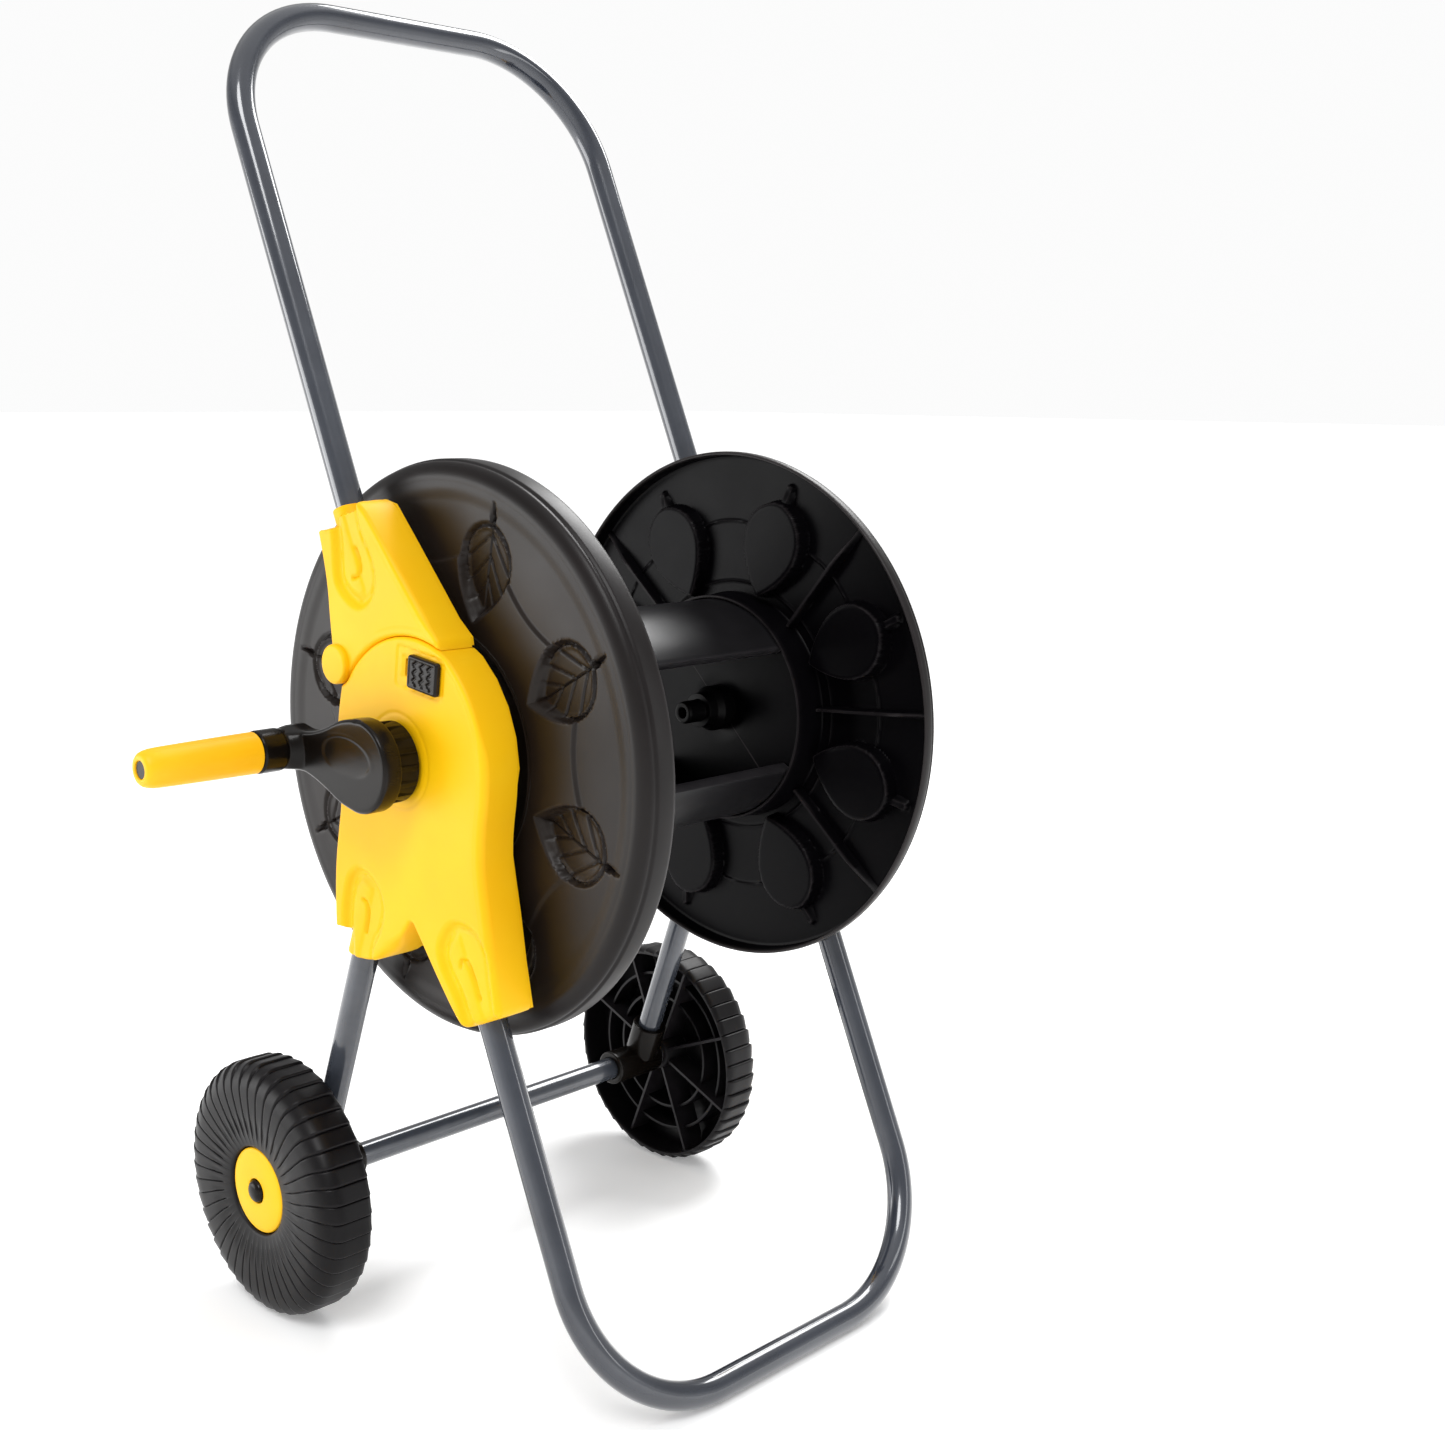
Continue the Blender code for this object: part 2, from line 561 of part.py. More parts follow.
def bracket(side, sign):
    low, low_cavity = cover("lower_bracket_" + side, lower_outline(), sign, YELLOW, REEL, 0)
    cut(low, low_cavity)
    leg_end = Vector((sign * LEG_X, 0, 0)) + HUB_POINT - LEG_DIR * 140.0
    rear_end = wheel_leg_point(sign, 200.0)
    cutters = [
        slot_for(leg_end, -LEG_DIR, TUBE_R, sign),
        slot_for(rear_end, -WHEEL_LEG_DIR, TUBE_R, sign),
        prism("window", lock_rect(LOCK_STEM[0] - GAP, LOCK_STEM[1] + LOCK_TRAVEL + GAP, LOCK_STEM[2] - GAP, LOCK_STEM[3] + GAP, 1.0), sign * 165.0, sign * 180.0),
        rod("spindle_hole", [(165.0, 14.3), (180.0, 14.3)], None, REEL, (sign, 0, 0), 24),
    ]
    if sign > 0:
        t = math.radians(31.0)
        d = Vector((0, -math.cos(t), math.sin(t)))
        peg = rod("peg", [(0.0, 6.6), (24.0, 6.6), (26.6, 5.6), (27.8, 3.4)], YELLOW, tuple(Vector((sign * 161.0, 0, HUB_Z)) + d * 79.0), d, 16)
        union(low, peg)
    cut(low, *cutters)
    pin = Vector((0, PIN_AT[0], PIN_AT[1] + HUB_Z))
    # back plate of the lower bracket, with the ear that carries the hinge pin
    plate = prism("lower_back_" + side, hub(offset(lower_outline(4), 0.8)), sign * PLATE_IN, sign * PLATE_OUT, YELLOW, REEL)
    ear = rod("ear", [(PLATE_IN, 12.0), (PLATE_OUT, 12.0)], YELLOW, tuple(pin), (sign, 0, 0), 24)
    tab = [(y + PIN_AT[0], z + PIN_AT[1]) for y, z in ((5.2, -3.0), (-6.5, -22.0), (-16.5, -17.0), (-5.2, 3.0))]
    union(plate, ear, prism("tab", hub(tab), sign * PLATE_IN, sign * PLATE_OUT, YELLOW))
    cut(plate, rod("pin_hole", [(140.0, 4.3), (155.0, 4.3)], None, tuple(pin), (sign, 0, 0), 16), rod("hub_hole", [(140.0, 14.3), (155.0, 14.3)], None, REEL, (sign, 0, 0), 24))
    # upper bracket
    up, up_cavity = cover("upper_bracket_" + side, upper_outline(), sign, YELLOW, PIN, 0)
    cut(up, up_cavity)
    knuckle = rod("knuckle", [(148.4, 12.95), (177.0, 12.95), (178.2, 11.8)], YELLOW, tuple(pin), (sign, 0, 0), 24)
    union(up, knuckle)
    top_end = Vector((sign * LEG_X, 0, 0)) + HUB_POINT + LEG_DIR * 140.0
    cut(up, slot_for(top_end, LEG_DIR, TUBE_R, sign), rod("pin_bore", [(140.0, 4.3), (172.0, 4.3)], None, tuple(pin), (sign, 0, 0), 16))
    back = prism("upper_back_" + side, hub(offset(upper_outline(4), 0.8)), sign * PLATE_IN, sign * PLATE_OUT, YELLOW, PIN)
    cut(back, rod("clear", [(140.0, 13.4), (155.0, 13.4)], None, tuple(pin), (sign, 0, 0), 24))
    rod("hinge_pin_" + side, [(143.4, 6.4), (145.3, 6.4), (145.3, 4.0), (171.6, 4.0)], STEEL, tuple(pin), (sign, 0, 0), 16)
    turned("spindle_bush_" + side, [(145.9, 9.4 if sign < 0 else 10.4), (176.4 if sign < 0 else 174.2, 9.4 if sign < 0 else 10.4), (176.4 if sign < 0 else 174.2, 14.0), (145.9, 14.0)], BLACK, REEL, (sign, 0, 0), 16)
    # lock button: it slides over the face, its stem runs in the slot and the flange behind keeps it in
    hy, hz = LOCK_SIZE[0] / 2, LOCK_SIZE[1] / 2
    face = lock_rect(-hy, hy, -hz, hz)
    button = prism("lock_slider_" + side, face, 0, 0, BLACK, (0, *hub([LOCK_AT])[0]),
                   insets=[(sign * (FACE + GAP), face), (sign * 177.2, face), (sign * 178.2, lock_rect(1 - hy, hy - 1, 1 - hz, hz - 1))])
    stem = prism("stem", lock_rect(*LOCK_STEM, 1.0), sign * 170.0, sign * 176.0, BLACK)
    flange = prism("flange", lock_rect(LOCK_STEM[0] + 1.0, LOCK_STEM[1] - 1.0, LOCK_STEM[2] - 2.5, LOCK_STEM[3] + 2.5), sign * 168.6, sign * 171.4, BLACK)
    union(button, stem, flange)


for sign, side in ((-1, "left"), (1, "right")):
    bracket(side, sign)

# ------------------------------------------------------------------ water inlet
inlet = turned("inlet_body", [
    (150.4, 3.6), (150.4, 5.7), (174.8, 5.7), (174.8, 19.5), (178.2, 19.5), (179.2, 12.0), (189.0, 11.0), (189.0, 15.4), (190.2, 17.4), (194.0, 17.4),
    (195.2, 9.4), (221.0, 9.0), (221.0, 3.6),
], BLACK, REEL, (1, 0, 0), 16)
turned("inlet_nut", [(195.6, 9.8), (195.6, 14.4), (197.0, 15.4), (203.6, 15.4), (205.0, 14.4), (205.0, 9.8)], BLACK, REEL, (1, 0, 0), 16)
turned("inlet_nipple", [(205.4, 9.5), (205.4, 11.6), (210.0, 11.6), (211.0, 10.8), (INLET_END - 1.5, 10.8), (INLET_END, 9.6), (INLET_END, 4.2), (221.4, 4.2), (221.4, 9.5)], BLACK, REEL, (1, 0, 0), 16)
turned("inlet_seal", [(173.3, 6.2), (174.4, 6.2), (174.4, 9.0), (173.3, 9.0)], SEAL, REEL, (1, 0, 0), 16)
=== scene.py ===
"""Looks for the garden hose reel cart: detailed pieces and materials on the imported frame."""
import math

import bpy
import numpy as np
from mathutils import Matrix, Vector
from mathutils.geometry import delaunay_2d_cdt


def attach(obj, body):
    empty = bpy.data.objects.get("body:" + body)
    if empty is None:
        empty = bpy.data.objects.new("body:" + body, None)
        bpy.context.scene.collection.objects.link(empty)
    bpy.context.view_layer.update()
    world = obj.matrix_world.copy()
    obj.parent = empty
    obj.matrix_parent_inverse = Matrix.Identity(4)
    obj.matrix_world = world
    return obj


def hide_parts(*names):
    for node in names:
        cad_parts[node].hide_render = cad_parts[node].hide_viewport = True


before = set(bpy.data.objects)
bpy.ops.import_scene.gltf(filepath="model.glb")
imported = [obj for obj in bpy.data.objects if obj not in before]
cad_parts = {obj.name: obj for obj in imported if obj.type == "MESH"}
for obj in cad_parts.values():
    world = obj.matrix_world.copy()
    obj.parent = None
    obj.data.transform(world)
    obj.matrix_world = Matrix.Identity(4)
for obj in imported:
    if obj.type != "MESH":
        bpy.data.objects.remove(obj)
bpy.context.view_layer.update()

MM = 0.001
# The working frame is the CAD model's own: X along the reel's axis, the axis at y = 0, z = HUB_Z.
FOOT_Z = 9.4 * math.cos(math.pi / 20)
HANDLE_TOP_Z = 891.2
LEG_LEAN = 0.442
LEG_Y0 = -175.3
HANDLE_TOP_Y = LEG_Y0 + (HANDLE_TOP_Z - FOOT_Z) * LEG_LEAN
SHIFT = np.array([42.0, (186.0 - HANDLE_TOP_Y - 9.4) / 2.0, 0.0])
HUB_Z = 407.5
LEG_X = 157.4
AXLE = np.array([0.0, 129.9, 90.0])
FACE = 174.5
BACK = 148.0
PIN_AT = (63.5, 54.0)
SEAM_CENTRE = (-12.0, -2.0)
REACH = math.hypot(PIN_AT[0] - SEAM_CENTRE[0], PIN_AT[1] - SEAM_CENTRE[1])
SEAM_UP = REACH - 13.0
SEAM_LOW = SEAM_UP - 0.3
LEG_DIR = np.array([0.0, LEG_LEAN, 1.0]) / math.hypot(LEG_LEAN, 1.0)
WLEG_DIR = np.array([0.0, -0.375, 1.0]) / math.hypot(0.375, 1.0)


# ------------------------------------------------------------------ materials
def lin(rgb):
    out = []
    for c in rgb:
        c = c / 255.0
        out.append(c / 12.92 if c <= 0.04045 else ((c + 0.055) / 1.055) ** 2.4)
    return (*out, 1.0)


def surface(name, rgb, dark, light, rough, rough_span, metallic=0.0, specular=0.5, coat=0.0, coat_rough=0.1,
            grain=900.0, grain_depth=0.00003, cloud=14.0, wear_and_highlight=0.0, wear_and_highlight_rgb=None, scratches=0.0, flecks=0.0, painted_warm_reflection=None, painted_drum_shade=None):
    """A moulded or painted surface: slow colour drift, fine grain in the bump, uneven gloss, worn edges that also carry
    painted edge highlights, and on the reel discs a painted warm reflection and painted shade.
    """
    mat = bpy.data.materials.new(name)
    mat.use_nodes = True
    nt = mat.node_tree
    n, l = nt.nodes, nt.links
    bsdf = n["Principled BSDF"]
    bsdf.inputs["Metallic"].default_value = metallic
    bsdf.inputs["Specular IOR Level"].default_value = specular
    bsdf.inputs["Coat Weight"].default_value = coat
    bsdf.inputs["Coat Roughness"].default_value = coat_rough
    tex = n.new("ShaderNodeTexCoord")
    big = n.new("ShaderNodeTexNoise")
    big.inputs["Scale"].default_value = cloud
    big.inputs["Detail"].default_value = 5.0
    l.new(tex.outputs["Object"], big.inputs["Vector"])
    ramp = n.new("ShaderNodeValToRGB")
    ramp.color_ramp.elements[0].position = 0.3
    ramp.color_ramp.elements[0].color = lin(dark)
    ramp.color_ramp.elements[1].position = 0.7
    ramp.color_ramp.elements[1].color = lin(light)
    mid = ramp.color_ramp.elements.new(0.5)
    mid.color = lin(rgb)
    l.new(big.outputs["Fac"], ramp.inputs["Fac"])
    colour = ramp.outputs["Color"]
    fine = n.new("ShaderNodeTexNoise")
    fine.inputs["Scale"].default_value = grain
    fine.inputs["Detail"].default_value = 3.0
    l.new(tex.outputs["Object"], fine.inputs["Vector"])
    if flecks:
        mixf = n.new("ShaderNodeMix")
        mixf.data_type = "RGBA"
        mixf.blend_type = "MULTIPLY"
        sp = n.new("ShaderNodeMapRange")
        sp.inputs["From Min"].default_value = 0.35
        sp.inputs["From Max"].default_value = 0.65
        sp.inputs["To Min"].default_value = 1.0 - flecks
        sp.inputs["To Max"].default_value = 1.0
        l.new(fine.outputs["Fac"], sp.inputs["Value"])
        mixf.inputs["Factor"].default_value = 1.0
        l.new(colour, mixf.inputs["A"])
        l.new(sp.outputs["Result"], mixf.inputs["B"])
        colour = mixf.outputs["Result"]
    if painted_warm_reflection:
        # painted reflection: a warm tone of the yellow brackets bounced onto the reel, strongest round the middle and
        # fading toward the rim
        away = n.new("ShaderNodeVectorMath")
        away.operation = "DISTANCE"
        flat = n.new("ShaderNodeVectorMath")
        flat.operation = "MULTIPLY"
        flat.inputs[1].default_value = (0.0, 1.0, 1.0)
        l.new(tex.outputs["Object"], flat.inputs[0])
        l.new(flat.outputs["Vector"], away.inputs[0])
        away.inputs[1].default_value = (0.0, SHIFT[1] * MM, HUB_Z * MM)
        reach = n.new("ShaderNodeMapRange")
        reach.inputs["From Min"].default_value = painted_warm_reflection[1]
        reach.inputs["From Max"].default_value = painted_warm_reflection[2]
        reach.inputs["To Min"].default_value = 1.0
        reach.inputs["To Max"].default_value = 0.0
        l.new(away.outputs["Value"], reach.inputs["Value"])
        uneven_warm_reflection = n.new("ShaderNodeMath")
        uneven_warm_reflection.operation = "MULTIPLY"
        l.new(reach.outputs["Result"], uneven_warm_reflection.inputs[0])
        l.new(big.outputs["Fac"], uneven_warm_reflection.inputs[1])
        warm = n.new("ShaderNodeMix")
        warm.data_type = "RGBA"
        l.new(uneven_warm_reflection.outputs["Value"], warm.inputs["Factor"])
        l.new(colour, warm.inputs["A"])
        warm.inputs["B"].default_value = lin(painted_warm_reflection[0])
        colour = warm.outputs["Result"]
        if painted_drum_shade:
            # painted shade: the sides of the reel that face the drum are mixed toward a deeper black, standing in for
            # the shade between the two discs
            part = n.new("ShaderNodeSeparateXYZ")
            l.new(tex.outputs["Object"], part.inputs["Vector"])
            middle = n.new("ShaderNodeMath")
            middle.operation = "SUBTRACT"
            middle.inputs[1].default_value = SHIFT[0] * MM
            l.new(part.outputs["X"], middle.inputs[0])
            facing = n.new("ShaderNodeSeparateXYZ")
            l.new(tex.outputs["Normal"], facing.inputs["Vector"])
            outward = n.new("ShaderNodeMath")
            outward.operation = "MULTIPLY"
            l.new(middle.outputs["Value"], outward.inputs[0])
            l.new(facing.outputs["X"], outward.inputs[1])
            inward = n.new("ShaderNodeMath")
            inward.operation = "LESS_THAN"
            inward.inputs[1].default_value = 0.003
            l.new(outward.outputs["Value"], inward.inputs[0])
            within = n.new("ShaderNodeMath")
            within.operation = "LESS_THAN"
            within.inputs[1].default_value = 0.1832
            l.new(away.outputs["Value"], within.inputs[0])
            drumward = n.new("ShaderNodeMath")
            drumward.operation = "MULTIPLY"
            l.new(inward.outputs["Value"], drumward.inputs[0])
            l.new(within.outputs["Value"], drumward.inputs[1])
            painted_shade_mix = n.new("ShaderNodeMix")
            painted_shade_mix.data_type = "RGBA"
            l.new(drumward.outputs["Value"], painted_shade_mix.inputs["Factor"])
            l.new(colour, painted_shade_mix.inputs["A"])
            painted_shade_mix.inputs["B"].default_value = lin(painted_drum_shade)
            colour = painted_shade_mix.outputs["Result"]
            # less specular on the same drum-facing sides, part of the painted shade
            gloss = n.new("ShaderNodeMapRange")
            gloss.inputs["To Min"].default_value = specular
            gloss.inputs["To Max"].default_value = 0.07
            l.new(drumward.outputs["Value"], gloss.inputs["Value"])
            l.new(gloss.outputs["Result"], bsdf.inputs["Specular IOR Level"])
    # convex edges lightened by pointiness: partly wear, partly painted edge highlights (strongest on the discs, drum
    # staves and black mouldings)
    if wear_and_highlight:
        geo = n.new("ShaderNodeNewGeometry")
        edge = n.new("ShaderNodeMapRange")
        edge.inputs["From Min"].default_value = 0.52
        edge.inputs["From Max"].default_value = 0.62
        l.new(geo.outputs["Pointiness"], edge.inputs["Value"])
        patch = n.new("ShaderNodeTexNoise")
        patch.inputs["Scale"].default_value = 60.0
        l.new(tex.outputs["Object"], patch.inputs["Vector"])
        both = n.new("ShaderNodeMath")
        both.operation = "MULTIPLY"
        l.new(edge.outputs["Result"], both.inputs[0])
        l.new(patch.outputs["Fac"], both.inputs[1])
        amount = n.new("ShaderNodeMath")
        amount.operation = "MULTIPLY"
        amount.inputs[1].default_value = wear_and_highlight
        l.new(both.outputs["Value"], amount.inputs[0])
        mix = n.new("ShaderNodeMix")
        mix.data_type = "RGBA"
        l.new(amount.outputs["Value"], mix.inputs["Factor"])
        l.new(colour, mix.inputs["A"])
        mix.inputs["B"].default_value = lin(wear_and_highlight_rgb or light)
        colour = mix.outputs["Result"]
    l.new(colour, bsdf.inputs["Base Color"])
    uneven = n.new("ShaderNodeTexNoise")
    uneven.inputs["Scale"].default_value = cloud * 2.3
    uneven.inputs["Detail"].default_value = 6.0
    l.new(tex.outputs["Object"], uneven.inputs["Vector"])
    span = n.new("ShaderNodeMapRange")
    span.inputs["To Min"].default_value = rough - rough_span
    span.inputs["To Max"].default_value = rough + rough_span
    l.new(uneven.outputs["Fac"], span.inputs["Value"])
    l.new(span.outputs["Result"], bsdf.inputs["Roughness"])
    bump = n.new("ShaderNodeBump")
    bump.inputs["Strength"].default_value = 1.0
    bump.inputs["Distance"].default_value = grain_depth
    l.new(fine.outputs["Fac"], bump.inputs["Height"])
    last = bump
    if scratches:
        stretch = n.new("ShaderNodeMapping")
        stretch.inputs["Scale"].default_value = (40.0, 700.0, 700.0)
        l.new(tex.outputs["Object"], stretch.inputs["Vector"])
        lines = n.new("ShaderNodeTexNoise")
        lines.inputs["Scale"].default_value = 1.0
        lines.inputs["Detail"].default_value = 2.0
        l.new(stretch.outputs["Vector"], lines.inputs["Vector"])
        second = n.new("ShaderNodeBump")
        second.inputs["Distance"].default_value = scratches
        l.new(lines.outputs["Fac"], second.inputs["Height"])
        l.new(bump.outputs["Normal"], second.inputs["Normal"])
        last = second
    l.new(last.outputs["Normal"], bsdf.inputs["Normal"])
    return mat


# the pale edge colours below are partly wear and, on the disc, drum stave and black mouldings, painted edge highlights
YELLOW = surface("yellow_moulding", (255, 194, 4), (254, 189, 2), (255, 199, 10), 0.44, 0.05, specular=0.2, grain=1500.0, grain_depth=0.000012, wear_and_highlight=0.25, wear_and_highlight_rgb=(255, 208, 55))
GRIP = surface("yellow_grip", (255, 192, 8), (253, 186, 4), (255, 198, 14), 0.45, 0.05, specular=0.3, grain=1500.0, grain_depth=0.00002, wear_and_highlight=0.2, wear_and_highlight_rgb=(255, 208, 60))
# disc_moulding: the warm tone round the hub is a painted reflection of the yellow brackets, and the deeper black on the
# drum-facing sides is painted shade
DISC = surface("disc_moulding", (20, 16, 16), (16, 12, 12), (25, 21, 22), 0.38, 0.05, specular=0.24, grain=2200.0, grain_depth=0.000012, flecks=0.05, wear_and_highlight=0.8, wear_and_highlight_rgb=(86, 80, 82), painted_warm_reflection=((40, 29, 17), 0.07, 0.19), painted_drum_shade=(5, 4, 6))
BLACK = surface("black_moulding", (15, 11, 8), (11, 8, 6), (20, 15, 12), 0.24, 0.05, specular=0.18, grain=1800.0, grain_depth=0.000012, wear_and_highlight=0.7, wear_and_highlight_rgb=(84, 78, 74))
# painted shade: a darker, less glossy copy of the black moulding for the hose union deep inside the drum
SHADED_DRUM_FITTING = surface("drum_fitting_painted_shade", (7, 6, 7), (5, 4, 5), (10, 9, 10), 0.42, 0.05, specular=0.12, grain=1800.0, grain_depth=0.000012, wear_and_highlight=0.5, wear_and_highlight_rgb=(40, 38, 40))
STAVE = surface("drum_moulding", (22, 21, 23), (18, 17, 19), (28, 27, 29), 0.34, 0.05, specular=0.28, grain=1800.0, grain_depth=0.000012, wear_and_highlight=0.8, wear_and_highlight_rgb=(90, 87, 90))
WHEEL = surface("wheel_moulding", (13, 11, 13), (10, 8, 10), (18, 16, 18), 0.40, 0.07, specular=0.2, grain=1600.0, grain_depth=0.00002, flecks=0.06, wear_and_highlight=0.4, wear_and_highlight_rgb=(68, 64, 68))
TUBE = surface("tube_paint", (50, 54, 63), (45, 49, 58), (57, 61, 70), 0.2, 0.05, metallic=0.15, specular=0.5, coat=1.0, coat_rough=0.05, grain=2600.0, grain_depth=0.000004, cloud=24.0, wear_and_highlight=0.15, wear_and_highlight_rgb=(150, 156, 164))
STEEL = surface("zinc_steel", (150, 150, 152), (132, 132, 135), (168, 168, 170), 0.32, 0.08, metallic=1.0, grain=1400.0, grain_depth=0.00001, cloud=90.0, scratches=0.00001)
SEAL = surface("seal_rubber", (24, 24, 24), (18, 18, 18), (32, 32, 32), 0.75, 0.08, specular=0.3, grain=1200.0, grain_depth=0.00003)


# ------------------------------------------------------------------ mesh tools
def piece(name, verts, faces, mat, body, stands_for=(), angle=32.0, closed_check=True):
    """verts in the working frame (mm); faces as an (n, 4) or (n, 3) array, or a mixed list."""
    v = (np.asarray(verts, float) + SHIFT) * MM
    mesh = bpy.data.meshes.new(name)
    if isinstance(faces, np.ndarray):
        k = faces.shape[1]
        mesh.vertices.add(len(v))
        mesh.vertices.foreach_set("co", v.astype(np.float32).ravel())
        mesh.loops.add(faces.size)
        mesh.loops.foreach_set("vertex_index", faces.astype(np.int32).ravel())
        mesh.polygons.add(len(faces))
        mesh.polygons.foreach_set("loop_start", np.arange(0, faces.size, k, dtype=np.int32))
        mesh.update(calc_edges=True)
    else:
        mesh.from_pydata([tuple(p) for p in v], [], [tuple(int(i) for i in f) for f in faces])
        mesh.update()
    mesh.calc_loop_triangles()
    tri = np.empty(len(mesh.loop_triangles) * 3, np.int32)
    mesh.loop_triangles.foreach_get("vertices", tri)
    t = v[tri.reshape(-1, 3)]
    if np.einsum("ij,ij->i", t[:, 0], np.cross(t[:, 1], t[:, 2])).sum() < 0:
        mesh.flip_normals()
    mesh.materials.append(mat)
    ob = bpy.data.objects.new(name, mesh)
    bpy.context.scene.collection.objects.link(ob)
    mesh.shade_smooth()
    mesh.set_sharp_from_angle(angle=math.radians(angle))
    if body:
        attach(ob, body)
        if stands_for:
            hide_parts(*stands_for)
    return ob


def grid_faces(rows, cols, wrap_rows, wrap_cols):
    r = np.arange(rows if wrap_rows else rows - 1)
    c = np.arange(cols if wrap_cols else cols - 1)
    R, C = np.meshgrid(r, c, indexing="ij")
    R2, C2 = (R + 1) % rows, (C + 1) % cols
    return np.stack([R * cols + C, R * cols + C2, R2 * cols + C2, R2 * cols + C], -1).reshape(-1, 4)


def frame_of(along):
    w = np.asarray(along, float)
    w = w / np.linalg.norm(w)
    side = np.array([0.0, 0.0, 1.0]) if abs(w[2]) < 0.9 else np.array([0.0, 1.0, 0.0])
    u = np.cross(side, w)
    u /= np.linalg.norm(u)
    return u, np.cross(w, u), w


def soften(profile, radius, steps=3, closed=True):
    """Rounds the corners of a profile of (a, r) points, keeping the rest."""
    pts = [np.array(p, float) for p in profile]
    out = []
    n = len(pts)
    for i, p in enumerate(pts):
        if not closed and i in (0, n - 1):
            out.append(p)
            continue
        a, b = pts[i - 1] - p, pts[(i + 1) % n] - p
        la, lb = np.linalg.norm(a), np.linalg.norm(b)
        if la < 1e-9 or lb < 1e-9:
            continue
        cut = min(radius, la * 0.45, lb * 0.45)
        turn = abs(np.dot(a / la, b / lb) + 1.0)
        if turn < 0.02:
            out.append(p)
            continue
        p0, p1 = p + a / la * cut, p + b / lb * cut
        for k in range(steps + 1):
            t = k / steps
            out.append((1 - t) ** 2 * p0 + 2 * t * (1 - t) * p + t ** 2 * p1)
    return np.array(out)


def turned(name, profile, mat, body, at=(0, 0, 0), along=(1, 0, 0), sides=96, stands_for=(), ripple=None, angle=32.0):
    """A solid of revolution from a closed (distance, radius) profile; ripple(a, r, angle) adds to the radius."""
    u, v, w = frame_of(along)
    prof = np.asarray(profile, float)
    th = np.linspace(0, 2 * math.pi, sides, endpoint=False)
    a = prof[None, :, 0] + 0 * th[:, None]
    r = prof[None, :, 1] + 0 * th[:, None]
    if ripple is not None:
        r = r + ripple(a, r, th[:, None])
    d = np.cos(th)[:, None] * u[None] + np.sin(th)[:, None] * v[None]
    verts = np.asarray(at, float)[None, None] + a[..., None] * w + r[..., None] * d[:, None, :]
    return piece(name, verts.reshape(-1, 3), grid_faces(sides, len(prof), True, True), mat, body, stands_for, angle)


def rod(name, profile, mat, body, at=(0, 0, 0), along=(1, 0, 0), sides=48, stands_for=(), angle=32.0, ripple=None):
    """A round solid with no bore; profile of (distance, radius), both ends capped."""
    u, v, w = frame_of(along)
    prof = np.asarray(profile, float)
    th = np.linspace(0, 2 * math.pi, sides, endpoint=False)
    d = np.cos(th)[:, None] * u[None] + np.sin(th)[:, None] * v[None]
    a = prof[:, 0][:, None] + 0 * th[None]
    r = prof[:, 1][:, None] + 0 * th[None]
    if ripple is not None:
        r = r + ripple(a, r, th[None, :])
    verts = np.asarray(at, float) + a[..., None] * w + r[..., None] * d[None]
    faces = [list(f) for f in grid_faces(len(prof), sides, False, True)]
    faces.append(list(range(sides))[::-1])
    faces.append(list(range((len(prof) - 1) * sides, len(prof) * sides)))
    return piece(name, verts.reshape(-1, 3), faces, mat, body, stands_for, angle)


def boolean(base, others, operation):
    for other in others:
        step = base.modifiers.new(operation, "BOOLEAN")
        step.operation = operation
        step.solver = "EXACT"
        step.object = other
        bpy.context.view_layer.update()
        graph = bpy.context.evaluated_depsgraph_get()
        mesh = bpy.data.meshes.new_from_object(base.evaluated_get(graph))
        base.modifiers.clear()
        old = base.data
        base.data = mesh
        bpy.data.meshes.remove(old)
        spare = other.data
        bpy.data.objects.remove(other, do_unlink=True)
        bpy.data.meshes.remove(spare)
    base.data.shade_smooth()
    base.data.set_sharp_from_angle(angle=math.radians(32))
    return base


def smoothstep(x):
    x = np.clip(x, 0.0, 1.0)
    return x * x * (3 - 2 * x)


def seg_distance(p, a, b):
    """Distance from points p (n, 2) to each segment a-b, least over the segments."""
    best = np.full(len(p), 1e9)
    for s, e in zip(a, b):
        d = e - s
        length = max(np.dot(d, d), 1e-12)
        t = np.clip(((p - s) @ d) / length, 0, 1)
        q = s + t[:, None] * d
        best = np.minimum(best, np.hypot(*(p - q).T))
    return best


def inside(p, poly):
    x, y = p[:, 0], p[:, 1]
    hit = np.zeros(len(p), bool)
    j = len(poly) - 1
    for i in range(len(poly)):
        xi, yi = poly[i]
        xj, yj = poly[j]
        cross = ((yi > y) != (yj > y)) & (x < (xj - xi) * (y - yi) / (yj - yi + 1e-12) + xi)
        hit ^= cross
        j = i
    return hit


def spline(points, step=1.5, closed=False):
    """Catmull-Rom curve through the points, resampled at about `step`."""
    pts = np.array(points, float)
    out = []
    n = len(pts)
    for i in range(n if closed else n - 1):
        p0 = pts[i - 1] if (i > 0 or closed) else pts[i]
        p1 = pts[i]
        p2 = pts[(i + 1) % n]
        p3 = pts[(i + 2) % n] if (i + 2 < n or closed) else p2
        k = max(2, int(np.linalg.norm(p2 - p1) / step))
        for t in np.arange(k) / k:
            out.append(0.5 * ((2 * p1) + (p2 - p0) * t + (2 * p0 - 5 * p1 + 4 * p2 - p3) * t * t + (3 * p1 - p0 - 3 * p2 + p3) * t ** 3))
    if not closed:
        out.append(pts[-1])
    return np.array(out)


# ------------------------------------------------------------------ tubes
def leg_y(z):
    return LEG_Y0 + (z - FOOT_Z) * LEG_LEAN


HUB_POINT = np.array([0.0, leg_y(HUB_Z), HUB_Z])
BEND_R = 95.0
PLANE = np.cross([1, 0, 0], LEG_DIR)


